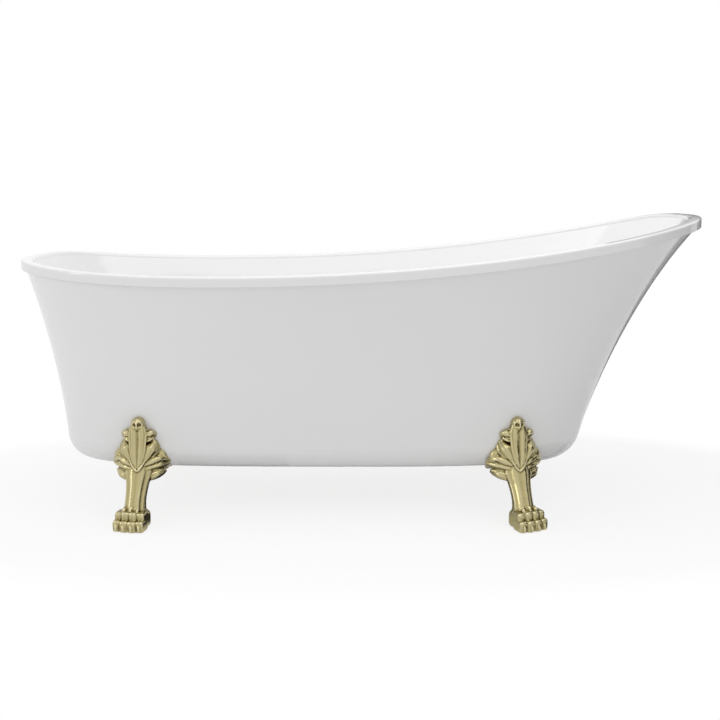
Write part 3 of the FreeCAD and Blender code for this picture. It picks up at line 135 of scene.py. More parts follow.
path = nodes.new("ShaderNodeLightPath")
near_glow = nodes.new("ShaderNodeMath")
near_glow.operation = "MULTIPLY"
near_glow.inputs[1].default_value = GLOW_FOR_CAMERA
brighter = nodes.new("ShaderNodeMath")
brighter.operation = "MAXIMUM"
glowing = nodes.new("ShaderNodeMath")
glowing.operation = "MULTIPLY"
glow = nodes.new("ShaderNodeEmission")
mix = nodes.new("ShaderNodeMixShader")
links.new(path.outputs["Is Camera Ray"], near_glow.inputs[0])
links.new(near_glow.outputs[0], brighter.inputs[0])
links.new(fade.outputs["Result"], brighter.inputs[1])
links.new(brighter.outputs[0], glowing.inputs[0])
links.new(seen_directly(nodes, links), glowing.inputs[1])
links.new(glowing.outputs[0], mix.inputs["Fac"])
links.new(shader.outputs[0], mix.inputs[1])
links.new(glow.outputs[0], mix.inputs[2])
links.new(mix.outputs[0], nodes["Material Output"].inputs["Surface"])
print("the camera sees a glow of at least", GLOW_FOR_CAMERA)

# %% World
WORLD_AS_A_LAMP = 0.64

world = bpy.data.worlds.new("white_studio")
bpy.context.scene.world = world
world.use_nodes = True
nodes, links = world.node_tree.nodes, world.node_tree.links
nodes.clear()
seen = nodes.new("ShaderNodeBackground")
seen.inputs["Color"].default_value = (1, 1, 1, 1)
lit = nodes.new("ShaderNodeBackground")
lit.inputs["Color"].default_value = (1, 1, 1, 1)
lit.inputs["Strength"].default_value = WORLD_AS_A_LAMP
mix = nodes.new("ShaderNodeMixShader")
output = nodes.new("ShaderNodeOutputWorld")
links.new(seen_directly(nodes, links), mix.inputs["Fac"])
links.new(lit.outputs[0], mix.inputs[1])
links.new(seen.outputs[0], mix.inputs[2])
links.new(mix.outputs[0], output.inputs["Surface"])
bpy.context.scene.view_settings.view_transform = "Standard"
print("world as a lamp:", WORLD_AS_A_LAMP)


# %% Lamps and the dark cards
def soft_lamp(name, place, aim, width, height, watts):
    """A soft lamp that faces a point."""
    bpy.ops.object.light_add(type="AREA", location=place)
    lamp = bpy.context.object
    lamp.name = name
    lamp.data.shape = "RECTANGLE"
    lamp.data.size = width
    lamp.data.size_y = height
    lamp.data.energy = watts
    lamp.rotation_euler = (Vector(aim) - Vector(place)).to_track_quat("-Z", "Y").to_euler()
    return lamp


def dark_card(name, place, rotation, size):
    """A square black card that the camera doesn't see."""
    bpy.ops.mesh.primitive_plane_add(size=size, location=place, rotation=rotation)
    card = bpy.context.object
    card.name = name
    card.data.materials.append(card_cloth)
    card.visible_camera = card.visible_shadow = False
    return card


UPRIGHT, SIDEWAYS, FLAT = (math.pi / 2, 0, 0), (math.pi / 2, 0, math.pi / 2), (0, 0, 0)
CARD_LIFT = 0.001

soft_lamp("overhead_lamp", (0.45, -0.4, 3.2), aim=(0.3, 0, 0.4), width=3.0, height=3.0, watts=46)
soft_lamp("low_end_lamp", (-3.0, -1.7, 1.6), aim=(-0.2, 0, 0.3), width=0.35, height=1.3, watts=9)

card_cloth, nodes, links, shader = new_material("card_cloth")
shader.inputs["Base Color"].default_value = (0.02, 0.02, 0.02, 1)
shader.inputs["Roughness"].default_value = 0.9
dark_card("head_end_card", (2.0, -0.5, 0.75), SIDEWAYS, 1.4)
dark_card("rear_card", (1.5, 0.85, 0.55), UPRIGHT, 1.4)
for card in (dark_card("foot_end_floor_card", (-0.34, -0.18, CARD_LIFT), FLAT, 0.3),
             dark_card("head_end_floor_card", (0.61, -0.18, CARD_LIFT), FLAT, 0.3)):
    card.visible_diffuse = False
print("two lamps and four cards")

# %% [markdown]
# ## Glossy white acrylic
#
# The shells are vacuum-formed acrylic sheet: a white body colour under a clear, hard gloss. A formed
# sheet is never perfectly flat, so its reflections waver a little. A wide, very low noise makes that
# waver, and a second, finer one the slight skin of the sheet.

# %% Acrylic
def gloss_acrylic(name, grey):
    """Acrylic sheet of one grey level, with a faint drift of tone and a faint waver."""
    material, nodes, links, shader = new_material(name)
    shader.inputs["Roughness"].default_value = 0.09
    shader.inputs["IOR"].default_value = 1.49
    place = nodes.new("ShaderNodeTexCoord")
    cloud = nodes.new("ShaderNodeTexNoise")
    cloud.inputs["Scale"].default_value = 2.2
    cloud.inputs["Detail"].default_value = 2
    tint = nodes.new("ShaderNodeValToRGB")
    tint.color_ramp.elements[0].color = (grey * 0.985, grey * 0.985, grey * 0.99, 1)
    tint.color_ramp.elements[1].color = (grey, grey, grey, 1)
    wave = nodes.new("ShaderNodeTexNoise")
    wave.inputs["Scale"].default_value = 5
    wave.inputs["Detail"].default_value = 1
    bump = nodes.new("ShaderNodeBump")
    bump.inputs["Strength"].default_value = 0.25
    bump.inputs["Distance"].default_value = 0.002
    links.new(place.outputs["Object"], cloud.inputs["Vector"])
    links.new(cloud.outputs["Fac"], tint.inputs["Fac"])
    links.new(tint.outputs["Color"], shader.inputs["Base Color"])
    links.new(place.outputs["Object"], wave.inputs["Vector"])
    links.new(wave.outputs["Fac"], bump.inputs["Height"])
    links.new(bump.outputs["Normal"], shader.inputs["Normal"])
    return material


def finish(node, material):
    """Give a CAD node its new material."""
    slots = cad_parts[node].data.materials
    for index in range(len(slots)):
        slots[index] = material


acrylic = gloss_acrylic("white_acrylic", 0.84)
for node in ("basin", "skirt"):
    finish(node, acrylic)
    print("acrylic:", node)

# %% [markdown]
# ## The claw feet
#
# Each foot is one casting: an upright acanthus leaf that lies against the skirt, a leg, and a lion's
# paw with four toes. Carving like this could be painted with sculpt brushes, but brushes can't be
# written down. Instead every rib, lobe and toe is a small piece of its own, a tapering rod, a ball or a
# rounded block, laid on as a modeller lays clay. One voxel remesh then melts them all into one skin,
# and a light smoothing gives it the softness of a casting.
#
# All sizes are in millimetres in the foot's own directions: across it, out from its bolts, and up.

# %% Rods, balls and blocks to carve with
MM = 0.001


def only(*things):
    """Select these objects alone, the first as the active one."""
    bpy.ops.object.select_all(action="DESELECT")
    for thing in things:
        thing.select_set(True)
    bpy.context.view_layer.objects.active = things[0]
    return things[0]


def rod(*points):
    """A round rod through points of across, out, up and radius."""
    bpy.ops.curve.primitive_bezier_curve_add(location=(0, 0, 0))
    curve = bpy.context.object.data
    curve.dimensions = "3D"
    knots = curve.splines[0].bezier_points
    knots.add(len(points) - len(knots))
    for knot, (across, out, up, radius) in zip(knots, points):
        knot.co = Vector((across, -out, up)) * MM
        knot.radius = radius
        knot.handle_left_type = knot.handle_right_type = "AUTO"
    curve.bevel_depth = MM
    curve.bevel_resolution = 3
    curve.resolution_u = 6
    curve.use_fill_caps = True
    bpy.ops.object.convert(target="MESH")
    return bpy.context.object


def ball(across, out, up, *radii):
    """A ball with a radius for each direction."""
    bpy.ops.mesh.primitive_uv_sphere_add(segments=24, ring_count=16, radius=MM,
                                         location=Vector((across, -out, up)) * MM, scale=radii)
    bpy.ops.object.transform_apply(location=True, rotation=True, scale=True)
    return bpy.context.object


def block(across, out, up, width, depth, height, edge):
    """A block with rounded edges."""
    bpy.ops.mesh.primitive_cube_add(size=MM, location=Vector((across, -out, up)) * MM,
                                    scale=(width, depth, height))
    bpy.ops.object.transform_apply(location=True, rotation=True, scale=True)
    bpy.ops.object.mode_set(mode="EDIT")
    bpy.ops.mesh.bevel(offset=edge * MM, segments=3, affect="EDGES")
    bpy.ops.object.mode_set(mode="OBJECT")
    return bpy.context.object


def bore(out, low, high, radius):
    """A straight hole up through the foot."""
    bpy.ops.mesh.primitive_cylinder_add(vertices=48, radius=radius * MM, depth=(high - low) * MM,
                                        location=Vector((0, -out, (low + high) / 2)) * MM)
    bpy.ops.object.transform_apply(location=True, rotation=True, scale=True)
    return bpy.context.object


def joined(name, pieces):
    """All the pieces as one object."""
    whole = only(*pieces)
    bpy.ops.object.join()
    whole.name = whole.data.name = name
    return whole


def apply(thing, kind, **settings):
    """Add a modifier with these settings and apply it."""
    only(thing)
    modifier = thing.modifiers.new(kind.lower(), kind)
    for setting, value in settings.items():
        setattr(modifier, setting, value)
    bpy.ops.object.modifier_apply(modifier=modifier.name)
    return thing


# %% [markdown]
# ### The leg
#
# The leg is a fluted column that sweeps outwards on its way down. It starts as a circle whose rim is
# drawn in eight times for the flutes, and is extruded ring by ring.

# %% The leg
LEG_RINGS = [(40, 184, 26.5, 23), (50, 183, 25.3, 22), (62, 178, 24.6, 21.5), (76, 169.5, 24.8, 22),
             (90, 159, 26, 23), (103, 149.5, 28, 24.5), (114, 142.5, 31, 25.5), (126, 136.5, 33.5, 24.5),
             (142, 128, 32, 24.5), (160, 119, 24, 22)]
FLUTES = 8
FLUTE_DEPTH = 0.05


def fluted_leg():
    """The leg, extruded ring by ring from its lowest one."""
    up, out, half_width, half_depth = LEG_RINGS[0]
    bpy.ops.mesh.primitive_circle_add(vertices=64, radius=MM, fill_type="NGON", location=(0, 0, 0))
    leg = bpy.context.object
    for vertex in leg.data.vertices:
        angle = math.atan2(vertex.co.y, vertex.co.x)
        vertex.co *= 1 - FLUTE_DEPTH * math.cos(FLUTES * angle)
    leg.scale = (half_width, half_depth, 1)
    leg.location = Vector((0, -out, up)) * MM
    bpy.ops.object.transform_apply(location=True, rotation=True, scale=True)
    bpy.ops.object.mode_set(mode="EDIT")
    bpy.ops.mesh.select_all(action="SELECT")
    for last, ring in zip(LEG_RINGS, LEG_RINGS[1:]):
        step = Vector((0, last[1] - ring[1], ring[0] - last[0])) * MM
        bpy.ops.mesh.extrude_region_move(TRANSFORM_OT_translate={"value": step})
        bpy.ops.transform.resize(value=(ring[2] / last[2], ring[3] / last[3], 1),
                                 center_override=Vector((0, -ring[1], ring[0])) * MM)
    bpy.ops.mesh.select_all(action="SELECT")
    bpy.ops.mesh.normals_make_consistent(inside=False)
    bpy.ops.object.mode_set(mode="OBJECT")
    return leg


clay = [fluted_leg()]
print("leg:", len(clay[0].data.polygons), "faces")

# %% [markdown]
# ### The acanthus leaf
#
# From its foot the leaf sends up a double spine under a hooded tip. To each side go an ear near the
# tip, a full middle lobe, a wide folded lobe and a rolled lobe under it. A thin raised collar closes
# the leaf in a V over the leg. Everything but the tip comes in pairs. A thick rod that is sunk deep
# gives a broad petal, and a thin one along its rim gives the rolled edge.

# %% The spine, the hood and the collar
clay += [ball(0, 130, 243.5, 17.5, 19, 17),
         rod((0, 141, 231, 5), (0, 147, 245, 4), (0, 139, 256, 4))]
for side in (-1, 1):
    clay.append(rod((side * 2, 155, 137, 3), (side * 5, 150, 150, 7), (side * 8, 144, 172, 10),
                    (side * 9.5, 138, 198, 11), (side * 9, 136, 222, 10.5), (side * 8, 133, 242, 9.5)))
    clay.append(rod((side * 9, 154, 148, 2), (side * 14.5, 149, 170, 3.2), (side * 18, 143, 198, 4),
                    (side * 18.5, 138, 222, 4.2), (side * 13, 137, 240, 4)))
    clay.append(rod((0, 159, 131, 3), (side * 8, 157, 138, 2.6), (side * 16, 152, 151, 2.4),
                    (side * 22, 146, 167, 2), (side * 25, 142, 184, 1.2)))
print("spine, hood and collar:", len(clay) - 1, "pieces of clay")

# %% The ears and the middle lobes
for side in (-1, 1):
    clay.append(rod((side * 18, 131, 205, 6), (side * 24, 133, 215, 8), (side * 30, 132, 220, 8.5),
                    (side * 37, 126, 218, 7), (side * 40, 120, 210, 4)))
    clay.append(rod((side * 20, 138, 201, 3), (side * 28, 135, 204, 3.6), (side * 36, 127, 208, 3)))
    clay.append(rod((side * 13, 145, 149, 7), (side * 21, 139, 164, 12.5), (side * 29, 131, 179, 17),
                    (side * 35, 122, 190, 13), (side * 41, 115, 199, 6)))
    clay.append(rod((side * 28, 142, 154, 2.8), (side * 38, 136, 166, 4), (side * 46, 127, 177, 4.2),
                    (side * 47, 119, 190, 3.4)))
print("with ears and middle lobes:", len(clay) - 1)

# %% The wide folded lobes and the rolled lobes
for side in (-1, 1):
    clay.append(rod((side * 42, 126, 178, 4), (side * 52, 122, 168, 5), (side * 62, 115, 156, 5),
                    (side * 70, 107, 144, 3.5)))
    clay.append(rod((side * 16, 148, 144, 4), (side * 32, 139, 150, 8), (side * 47, 127, 154, 10),
                    (side * 59, 116, 151, 8), (side * 68, 107, 144, 4)))
    clay.append(rod((side * 16, 148, 134, 3.5), (side * 32, 141, 137, 5.5), (side * 48, 129, 139, 6),
                    (side * 60, 117, 140, 5.5), (side * 70, 108, 141, 3)))
    clay.append(rod((side * 18, 140, 110, 8), (side * 30, 139, 113, 10), (side * 42, 131, 117, 11),
                    (side * 52, 115, 120, 9.5), (side * 59, 107, 121, 5)))
    clay.append(rod((side * 24, 150, 119, 2.6), (side * 36, 141, 121, 3.8), (side * 48, 130, 124, 3.8),
                    (side * 60, 117, 125, 3)))
    clay.append(rod((side * 20, 137, 124, 8), (side * 36, 130, 130, 9), (side * 50, 117, 133, 7),
                    (side * 58, 109, 135, 4)))
    clay.append(ball(side * 40, 116, 157, 26, 14, 26))
print("the whole leaf:", len(clay) - 1)

# %% The lug and the web that carry the tub
clay.append(block(0, 52, 109, 44, 184, 24, 1))
clay.append(block(0, 117, 138, 44, 54, 84, 2))
modelled_leg = joined("modelled_leg", clay)
print("leg, leaf and lug:", len(modelled_leg.data.polygons), "faces")

# %% [markdown]
# ### The paw
#
# The paw is a flat-sided heel with four toes in front. Each toe is a knuckle block over a longer tip
# block, both well rounded, with a claw down its front. The outer toes stand back a little, and the
# knuckles a little closer than the tips. Three small tufts of fur close the gap between the leg and the
# knuckles. The paw stays apart from the leg for now, because it is turned later.

# %% The paw
LEVELLER_OUT = 188
TOES = ((-28.4, 4), (-9.6, 0), (9.6, 0), (28.4, 4))  # across, and how far each stands back
KNUCKLES_IN = 0.96

clay = [block(0, LEVELLER_OUT, 21.5, 76, 48, 43, 11)]
for across, back in TOES:
    clay.append(block(across * KNUCKLES_IN, 203 - back, 34 - back / 2, 20.5, 34, 25, 6.5))
    clay.append(block(across, 213.5 - back, 13, 21, 37, 29, 6))
    clay.append(rod((across, 227 - back, 21, 3.5), (across, 232 - back, 12, 4.2),
                    (across, 232 - back, 1, 3.2)))
for across, up in ((-17, 48), (0, 50.5), (17, 48)):
    clay.append(rod((across, 195, up + 4, 3), (across, 203, up, 4.6), (across, 210, up - 5, 2)))
modelled_paw = joined("modelled_paw", clay)
print("paw:", len(modelled_paw.data.polygons), "faces")

# %% [markdown]
# ### Hollows and bores
#
# Undercuts make a carved leaf read as a leaf: two small dimples under the hooded tip, a dark hollow
# behind each curl, and a groove down the spine. They are cut with small balls and rods in the same way
# as the ribs were laid on. The recess for the pad and the bores for the insert, the stud and the two
# bolts are those of the solid.

# %% The cutters
PAD_RECESS, INSERT_BORE, STUD_BORE, BOLT_BORE = 19.7, 10, 7, 5.5
BOLT_OUT = 26

hollows = [rod((0, 165, 136, 1), (0, 159, 150, 3), (0, 154, 178, 3.4), (0, 149, 205, 3.4),
               (0, 146, 230, 2)),
           bore(LEVELLER_OUT, -5, 10, PAD_RECESS), bore(LEVELLER_OUT, -5, 34, INSERT_BORE),
           bore(LEVELLER_OUT, -5, 58.3, STUD_BORE),
           bore(-BOLT_OUT, 90, 130, BOLT_BORE), bore(BOLT_OUT, 90, 130, BOLT_BORE)]
for side in (-1, 1):
    hollows.append(ball(side * 7.8, 150, 242.5, 6.4, 9, 7))
    hollows.append(ball(side * 28, 144, 211.5, 7, 9, 3.4))
    hollows.append(rod((side * 38, 141, 144, 1.6), (side * 48, 134, 149, 4.6), (side * 58, 122, 154, 2)))
    hollows.append(rod((side * 20, 151, 147, 1), (side * 28, 147, 157, 3), (side * 36, 142, 161, 1.4)))
    hollows.append(rod((side * 38, 140, 131, 1), (side * 54, 127, 131.5, 2.4), (side * 66, 114, 132, 2.6)))
    hollows.append(rod((side * 28, 149, 111, 1), (side * 40, 143, 113, 2.2), (side * 52, 131, 116, 1.4)))
foot_hollows = joined("foot_hollows", hollows)
print("cutters:", len(hollows))

# %% [markdown]
# ### From clay to casting
#
# Behind the lobes lies the ground of the leaf, a plate that follows the skirt. It is cut out of a skin
# round the skirt by the outline of the leaf. The skin is a convex hull of the lower part of the skirt,
# because that follows the wall there within a millimetre. The same hull, without the extra thickness,
# trims off whatever would reach into the tub. The paw is turned outwards about its leveller and moved
# out a few millimetres. The far feet are mirror copies of the near ones.

# %% The skirt as a cutter
LEAF_EDGE = [(28, 102), (50, 109), (59, 119), (57, 129), (68, 137), (67, 147), (57, 160), (48, 174),
             (43, 198), (35, 207), (38, 219), (33, 228), (20, 230), (16, 245), (9, 256)]
LEAF_TOP = (0, 259)
HULL_TOP = 275
GROUND = 9


def copy_of(source, name):
    """A free copy of an object with a mesh of its own."""
    copy = source.copy()
    copy.data = source.data.copy()
    copy.parent = None
    copy.name = copy.data.name = name
    bpy.context.scene.collection.objects.link(copy)
    copy.data.materials.clear()
    return copy


def edit(thing, *steps):
    """Run edit-mode steps on the whole of an object."""
    only(thing)
    bpy.ops.object.mode_set(mode="EDIT")
    bpy.ops.mesh.select_all(action="SELECT")
    for step in steps:
        step()
    bpy.ops.object.mode_set(mode="OBJECT")
    return thing


skirt_hull = edit(
    copy_of(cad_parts["skirt"], "skirt_hull"),
    lambda: bpy.ops.mesh.bisect(plane_co=(0, 0, HULL_TOP * MM), plane_no=(0, 0, 1), clear_outer=True),
    lambda: bpy.ops.mesh.select_all(action="SELECT"),
    lambda: bpy.ops.mesh.convex_hull(),
    lambda: bpy.ops.mesh.normals_make_consistent(inside=False))
skirt_skin = edit(copy_of(skirt_hull, "skirt_skin"),
                  lambda: bpy.ops.transform.shrink_fatten(value=GROUND * MM))
print("hull and skin, across:", skirt_hull.dimensions.y, skirt_skin.dimensions.y)


# %% Melt, trim and mirror
BOLTS = {"foot_end": (-0.533, -0.117, math.radians(-3)), "head_end": (0.359, -0.117, math.radians(11))}
PAW_TURN = {"foot_end": math.radians(-7), "head_end": math.radians(13)}
PAW_SHIFT = {"foot_end": -4, "head_end": 6}
VOXEL, CUTTER_VOXEL = 1.35, 0.8
BLOCK_BACK, BLOCK_DEEP = 60, 140
print("skin to trim with and voxels:", GROUND, VOXEL, CUTTER_VOXEL, "mm")


def put(thing, end):
    """Move a thing from the foot's own directions to its corner."""
    across, along, turn = BOLTS[end]
    only(thing)
    thing.location = (across, along, 0)
    thing.rotation_euler = (0, 0, turn)
    bpy.ops.object.transform_apply(location=True, rotation=True, scale=True)
    return thing


def leaf_ground(end):
    """The plate behind the lobes: the outline of the leaf, cut out of the skin round the skirt."""
    outline = LEAF_EDGE + [LEAF_TOP] + [(-across, up) for across, up in reversed(LEAF_EDGE)]
    bpy.ops.mesh.primitive_circle_add(vertices=len(outline), radius=MM, fill_type="NGON",
                                      location=(0, 0, 0))
    plate = bpy.context.object
    for vertex, (across, up) in zip(plate.data.vertices, outline):
        vertex.co = Vector((across, -BLOCK_BACK, up)) * MM
    forward = {"value": (0, -BLOCK_DEEP * MM, 0)}
    edit(plate, lambda: bpy.ops.mesh.extrude_region_move(TRANSFORM_OT_translate=forward),
         lambda: bpy.ops.mesh.select_all(action="SELECT"),
         lambda: bpy.ops.mesh.normals_make_consistent(inside=False))
    return apply(put(plate, end), "BOOLEAN", operation="INTERSECT", object=skirt_skin, solver="MANIFOLD")


def cast_foot(end):
    """The near foot of one end of the tub."""
    paw = edit(copy_of(modelled_paw, "paw"), lambda: bpy.ops.transform.rotate(
        value=-PAW_TURN[end], orient_axis="Z", center_override=(0, -LEVELLER_OUT * MM, 0)),
        lambda: bpy.ops.transform.translate(value=(PAW_SHIFT[end] * MM, 0, 0)))
    pieces = [put(copy_of(modelled_leg, "leg"), end), put(paw, end), leaf_ground(end)]
    foot = joined(f"carved_foot_{end}_near", pieces)
    cutter = put(copy_of(foot_hollows, "hollows"), end)
    apply(foot, "REMESH", mode="VOXEL", voxel_size=VOXEL * MM)
    apply(cutter, "REMESH", mode="VOXEL", voxel_size=CUTTER_VOXEL * MM)
    apply(foot, "BOOLEAN", operation="DIFFERENCE", object=cutter, solver="MANIFOLD")
    bpy.data.objects.remove(cutter)
    apply(foot, "REMESH", mode="VOXEL", voxel_size=VOXEL * MM)
    apply(foot, "SMOOTH", factor=0.5, iterations=2)
    apply(foot, "BOOLEAN", operation="DIFFERENCE", object=skirt_hull, solver="MANIFOLD")
    edit(foot, lambda: bpy.ops.mesh.bisect(plane_co=(0, 0, 0), plane_no=(0, 0, -1), clear_outer=True,
                                           use_fill=True, threshold=1e-6))
    only(foot)
    bpy.ops.object.shade_smooth_by_angle(angle=math.radians(60))
    return foot


# %% The four feet
feet = []
for end in BOLTS:
    near = cast_foot(end)
    far = copy_of(near, f"carved_foot_{end}_far")
    far.scale = (1, -1, 1)
    only(far)
    bpy.ops.object.transform_apply(location=True, rotation=True, scale=True)
    edit(far, lambda: bpy.ops.mesh.normals_make_consistent(inside=False))
    for foot, corner in ((near, f"{end}_near"), (far, f"{end}_far")):
        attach(foot, "tub")
        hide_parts(f"claw_foot_{corner}")
        feet.append(foot)
        print(foot.name, "triangles:", sum(len(face.vertices) - 2 for face in foot.data.polygons))
for tool in (modelled_leg, modelled_paw, foot_hollows, skirt_hull, skirt_skin):
    bpy.data.objects.remove(tool)

# %% [markdown]
# ## Brushed champagne gold
#
# The feet are cast aluminium with a thin plating, brushed by hand. The colour is painted darker in
# the hollows as painted shade and lighter on the ridges as painted highlight: the geometry node's
# pointiness tells ridges from hollows. Fine scratches are a noise that is stretched upwards.

# %% Gold
def brushed_gold(name, along):
    """Champagne gold whose brush marks run along one axis."""
    material, nodes, links, shader = new_material(name)
    shader.inputs["Metallic"].default_value = 1
    place = nodes.new("ShaderNodeTexCoord")
    edges = nodes.new("ShaderNodeNewGeometry")
    # Painted shade and painted highlight: by pointiness, the base colour runs from near black in the
    # hollows to pale gold on the ridges.
    depth = nodes.new("ShaderNodeValToRGB")
    depth.color_ramp.elements[0].position = 0.46
    depth.color_ramp.elements[0].color = (0.07, 0.05, 0.016, 1)
    depth.color_ramp.elements[1].position = 0.54
    depth.color_ramp.elements[1].color = (0.7, 0.64, 0.42, 1)
    middle = depth.color_ramp.elements.new(0.495)
    middle.color = (0.42, 0.36, 0.172, 1)
    stretch = nodes.new("ShaderNodeMapping")
    stretch.inputs["Scale"].default_value = [40 if axis == along else 900 for axis in "XYZ"]
    scratches = nodes.new("ShaderNodeTexNoise")
    scratches.inputs["Scale"].default_value = 1
    scratches.inputs["Detail"].default_value = 2
    dullness = nodes.new("ShaderNodeMapRange")
    dullness.inputs["To Min"].default_value = 0.18
    dullness.inputs["To Max"].default_value = 0.34
    bump = nodes.new("ShaderNodeBump")
    bump.inputs["Strength"].default_value = 0.12
    bump.inputs["Distance"].default_value = 0.0004
    links.new(edges.outputs["Pointiness"], depth.inputs["Fac"])
    links.new(depth.outputs["Color"], shader.inputs["Base Color"])
    links.new(place.outputs["Object"], stretch.inputs["Vector"])
    links.new(stretch.outputs["Vector"], scratches.inputs["Vector"])
    links.new(scratches.outputs["Fac"], dullness.inputs["Value"])
    links.new(dullness.outputs["Result"], shader.inputs["Roughness"])
    links.new(scratches.outputs["Fac"], bump.inputs["Height"])
    links.new(bump.outputs["Normal"], shader.inputs["Normal"])
    return material


cast_gold = brushed_gold("cast_gold", "Z")
for foot in feet:
    foot.data.materials.clear()
    foot.data.materials.append(cast_gold)
print(cast_gold.name, "on", len(feet), "feet")

# %% [markdown]
# ## Turned gold
#
# The waste's flange and cap, and the overflow's cover and screw, are brass that was turned on a lathe
# and plated like the feet. A lathe leaves fine rings. They are made with a noise that reads nothing
# but the distance from the middle of the piece, so it can only change from ring to ring.

# %% Waste and overflow trim
def turned_gold(node):
    """Champagne gold with lathe rings about the middle of a node."""
    corners = [Vector(corner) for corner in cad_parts[node].bound_box]
    material, nodes, links, shader = new_material("turned_gold_" + node)
    shader.inputs["Metallic"].default_value = 1
    place = nodes.new("ShaderNodeTexCoord")
    reach = nodes.new("ShaderNodeVectorMath")
    reach.operation = "DISTANCE"
    reach.inputs[1].default_value = sum(corners, Vector()) / len(corners)
    rings = nodes.new("ShaderNodeTexNoise")
    rings.noise_dimensions = "1D"
    rings.inputs["Scale"].default_value = 1500
    tone = nodes.new("ShaderNodeValToRGB")
    tone.color_ramp.elements[0].color = (0.58, 0.50, 0.28, 1)
    tone.color_ramp.elements[1].color = (0.74, 0.66, 0.41, 1)
    gloss = nodes.new("ShaderNodeMapRange")
    gloss.inputs["To Min"].default_value = 0.18
    gloss.inputs["To Max"].default_value = 0.34
    links.new(place.outputs["Object"], reach.inputs[0])
    links.new(reach.outputs["Value"], rings.inputs["W"])
    links.new(rings.outputs["Fac"], tone.inputs["Fac"])
    links.new(tone.outputs["Color"], shader.inputs["Base Color"])
    links.new(rings.outputs["Fac"], gloss.inputs["Value"])
    links.new(gloss.outputs["Result"], shader.inputs["Roughness"])
    return material


for node in ("drain_flange", "stopper_cap", "overflow_cover", "overflow_screw"):
    finish(node, turned_gold(node))
    print("turned gold:", node)

# %% [markdown]
# ## The finishes underneath
#
# The rest hides under the tub and is plainer, but no real surface is one even tone. One helper makes
# a finish whose colour and gloss drift in soft spots, with a grain as high as asked. Large spots on a
# metal read as plating or machining, small ones on a plastic as the texture of its mould.

# %% A helper for plain finishes
def mottled(name, colour, gloss, spot, grain, metal=0):
    """A drifting finish: gloss is a low and a high roughness, spot and grain are in metres."""
    material, nodes, links, shader = new_material(name)
    shader.inputs["Metallic"].default_value = metal
    place = nodes.new("ShaderNodeTexCoord")
    spots = nodes.new("ShaderNodeTexNoise")
    spots.inputs["Scale"].default_value = 1 / spot
    spots.inputs["Detail"].default_value = 3
    tone = nodes.new("ShaderNodeValToRGB")
    tone.color_ramp.elements[0].color = [channel * 0.86 for channel in colour] + [1]
    tone.color_ramp.elements[1].color = [*colour, 1]
    dullness = nodes.new("ShaderNodeMapRange")
    dullness.inputs["To Min"].default_value, dullness.inputs["To Max"].default_value = gloss
    bump = nodes.new("ShaderNodeBump")
    bump.inputs["Strength"].default_value = 0.3
    bump.inputs["Distance"].default_value = grain
    links.new(place.outputs["Object"], spots.inputs["Vector"])
    links.new(spots.outputs["Fac"], tone.inputs["Fac"])
    links.new(tone.outputs["Color"], shader.inputs["Base Color"])
    links.new(spots.outputs["Fac"], dullness.inputs["Value"])
    links.new(dullness.outputs["Result"], shader.inputs["Roughness"])
    links.new(spots.outputs["Fac"], bump.inputs["Height"])
    links.new(bump.outputs["Normal"], shader.inputs["Normal"])
    return material


def finish_all(material, *starts):
    """Finish every node whose name starts in one of these ways."""
    found = [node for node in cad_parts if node.startswith(starts)]
    for node in found:
        finish(node, material)
    print(material.name, "on", len(found), "nodes")


# %% [markdown]
# The frame and the foot plates are welded steel with a black powder coat. The powder melts into a
# skin like orange peel, so the spots are 2 mm wide and the grain is well raised.

# %% Powder-coated steel
finish_all(mottled("powder_coat", (0.02, 0.02, 0.022), (0.42, 0.55), 0.002, 0.0003),
           "frame_rail", "cross_tube", "foot_plate")

# %% [markdown]
# Screws, bolts, washers, nuts and the leveller studs are zinc plated: a cool, slightly cloudy grey.

# %% Zinc
finish_all(mottled("zinc_plate", (0.62, 0.64, 0.66), (0.26, 0.42), 0.006, 0.00005, metal=1),
           "board_screws", "foot_bolts", "foot_washers", "foot_nuts", "leveller_stud")

# %% [markdown]
# The tailpiece, the click cartridge and the threaded inserts are plain brass, which dulls in patches.

# %% Brass
finish_all(mottled("plain_brass", (0.78, 0.57, 0.25), (0.2, 0.38), 0.01, 0.00004, metal=1),
           "tailpiece", "stopper_cartridge", "leveller_inserts")

# %% [markdown]
# The waste body, the overflow body, its pipe and all slip nuts are white moulded plastic. Pads and
# rail caps are dark plastic with the fine spark-eroded texture of their moulds.

# %% Plastics
finish_all(mottled("white_plastic", (0.80, 0.80, 0.79), (0.3, 0.42), 0.012, 0.00006),
           "waste_body", "tailpiece_nut", "overflow_body", "overflow_pipe", "overflow_nuts")
finish_all(mottled("dark_plastic", (0.035, 0.035, 0.037), (0.5, 0.65), 0.0012, 0.0001),
           "leveller_pad", "rail_end_caps")

# %% [markdown]
# Seals and gaskets are black rubber, the dullest finish here. The bead that bonds the shells is a
# cured off-white paste, lumpy from the nozzle.

# %% Rubber and paste
finish_all(mottled("black_rubber", (0.018, 0.018, 0.018), (0.72, 0.85), 0.003, 0.00005),
           "stopper_seal", "drain_gasket", "tailpiece_washer", "overflow_gasket", "overflow_washers")
finish_all(mottled("bonding_paste", (0.74, 0.72, 0.66), (0.55, 0.7), 0.01, 0.0012),
           "rim_bond_bead")

# %% [markdown]
# ## Plywood
#
# The board under the basin is plywood, and its two kinds of surface look different. On top and
# bottom the grain runs along the board, which is a noise stretched along X. On the edges the plies
# show as light and dark layers, which are bands along Z. The direction of the surface chooses.

# %% Plywood
PLY = 0.0026

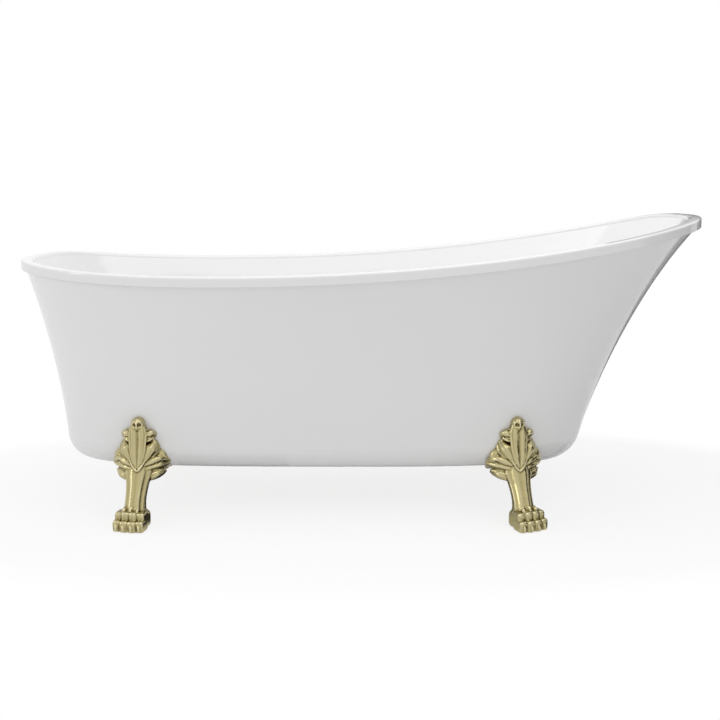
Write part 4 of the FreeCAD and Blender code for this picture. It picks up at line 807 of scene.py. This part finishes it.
plywood, nodes, links, shader = new_material("plywood")
shader.inputs["Roughness"].default_value = 0.62
place = nodes.new("ShaderNodeTexCoord")
stretch = nodes.new("ShaderNodeMapping")
stretch.inputs["Scale"].default_value = (3, 90, 90)
grain = nodes.new("ShaderNodeTexNoise")
grain.inputs["Scale"].default_value = 1
grain.inputs["Detail"].default_value = 4
face_tone = nodes.new("ShaderNodeValToRGB")
face_tone.color_ramp.elements[0].position = 0.3
face_tone.color_ramp.elements[0].color = (0.40, 0.25, 0.12, 1)
face_tone.color_ramp.elements[1].position = 0.7
face_tone.color_ramp.elements[1].color = (0.62, 0.44, 0.25, 1)
plies = nodes.new("ShaderNodeTexWave")
plies.bands_direction = "Z"
plies.inputs["Scale"].default_value = math.pi / (20 * PLY)  # the wave repeats every pi / 10 / scale
edge_tone = nodes.new("ShaderNodeValToRGB")
edge_tone.color_ramp.elements[0].color = (0.30, 0.17, 0.08, 1)
edge_tone.color_ramp.elements[1].color = (0.60, 0.42, 0.24, 1)
links.new(place.outputs["Object"], stretch.inputs["Vector"])
links.new(stretch.outputs["Vector"], grain.inputs["Vector"])
links.new(grain.outputs["Fac"], face_tone.inputs["Fac"])
links.new(place.outputs["Object"], plies.inputs["Vector"])
links.new(plies.outputs["Fac"], edge_tone.inputs["Fac"])
print("plies:", PLY * 1000, "mm thick")

# %% Grain on the faces, plies on the edges
surface = nodes.new("ShaderNodeNewGeometry")
facing = nodes.new("ShaderNodeSeparateXYZ")
flatness = nodes.new("ShaderNodeMath")
flatness.operation = "ABSOLUTE"
choice = nodes.new("ShaderNodeMix")
choice.data_type = "RGBA"
links.new(surface.outputs["Normal"], facing.inputs["Vector"])
links.new(facing.outputs["Z"], flatness.inputs[0])
links.new(flatness.outputs[0], choice.inputs["Factor"])
links.new(edge_tone.outputs["Color"], choice.inputs["A"])
links.new(face_tone.outputs["Color"], choice.inputs["B"])
links.new(choice.outputs["Result"], shader.inputs["Base Color"])
finish("base_board", plywood)
print("plywood: base_board")
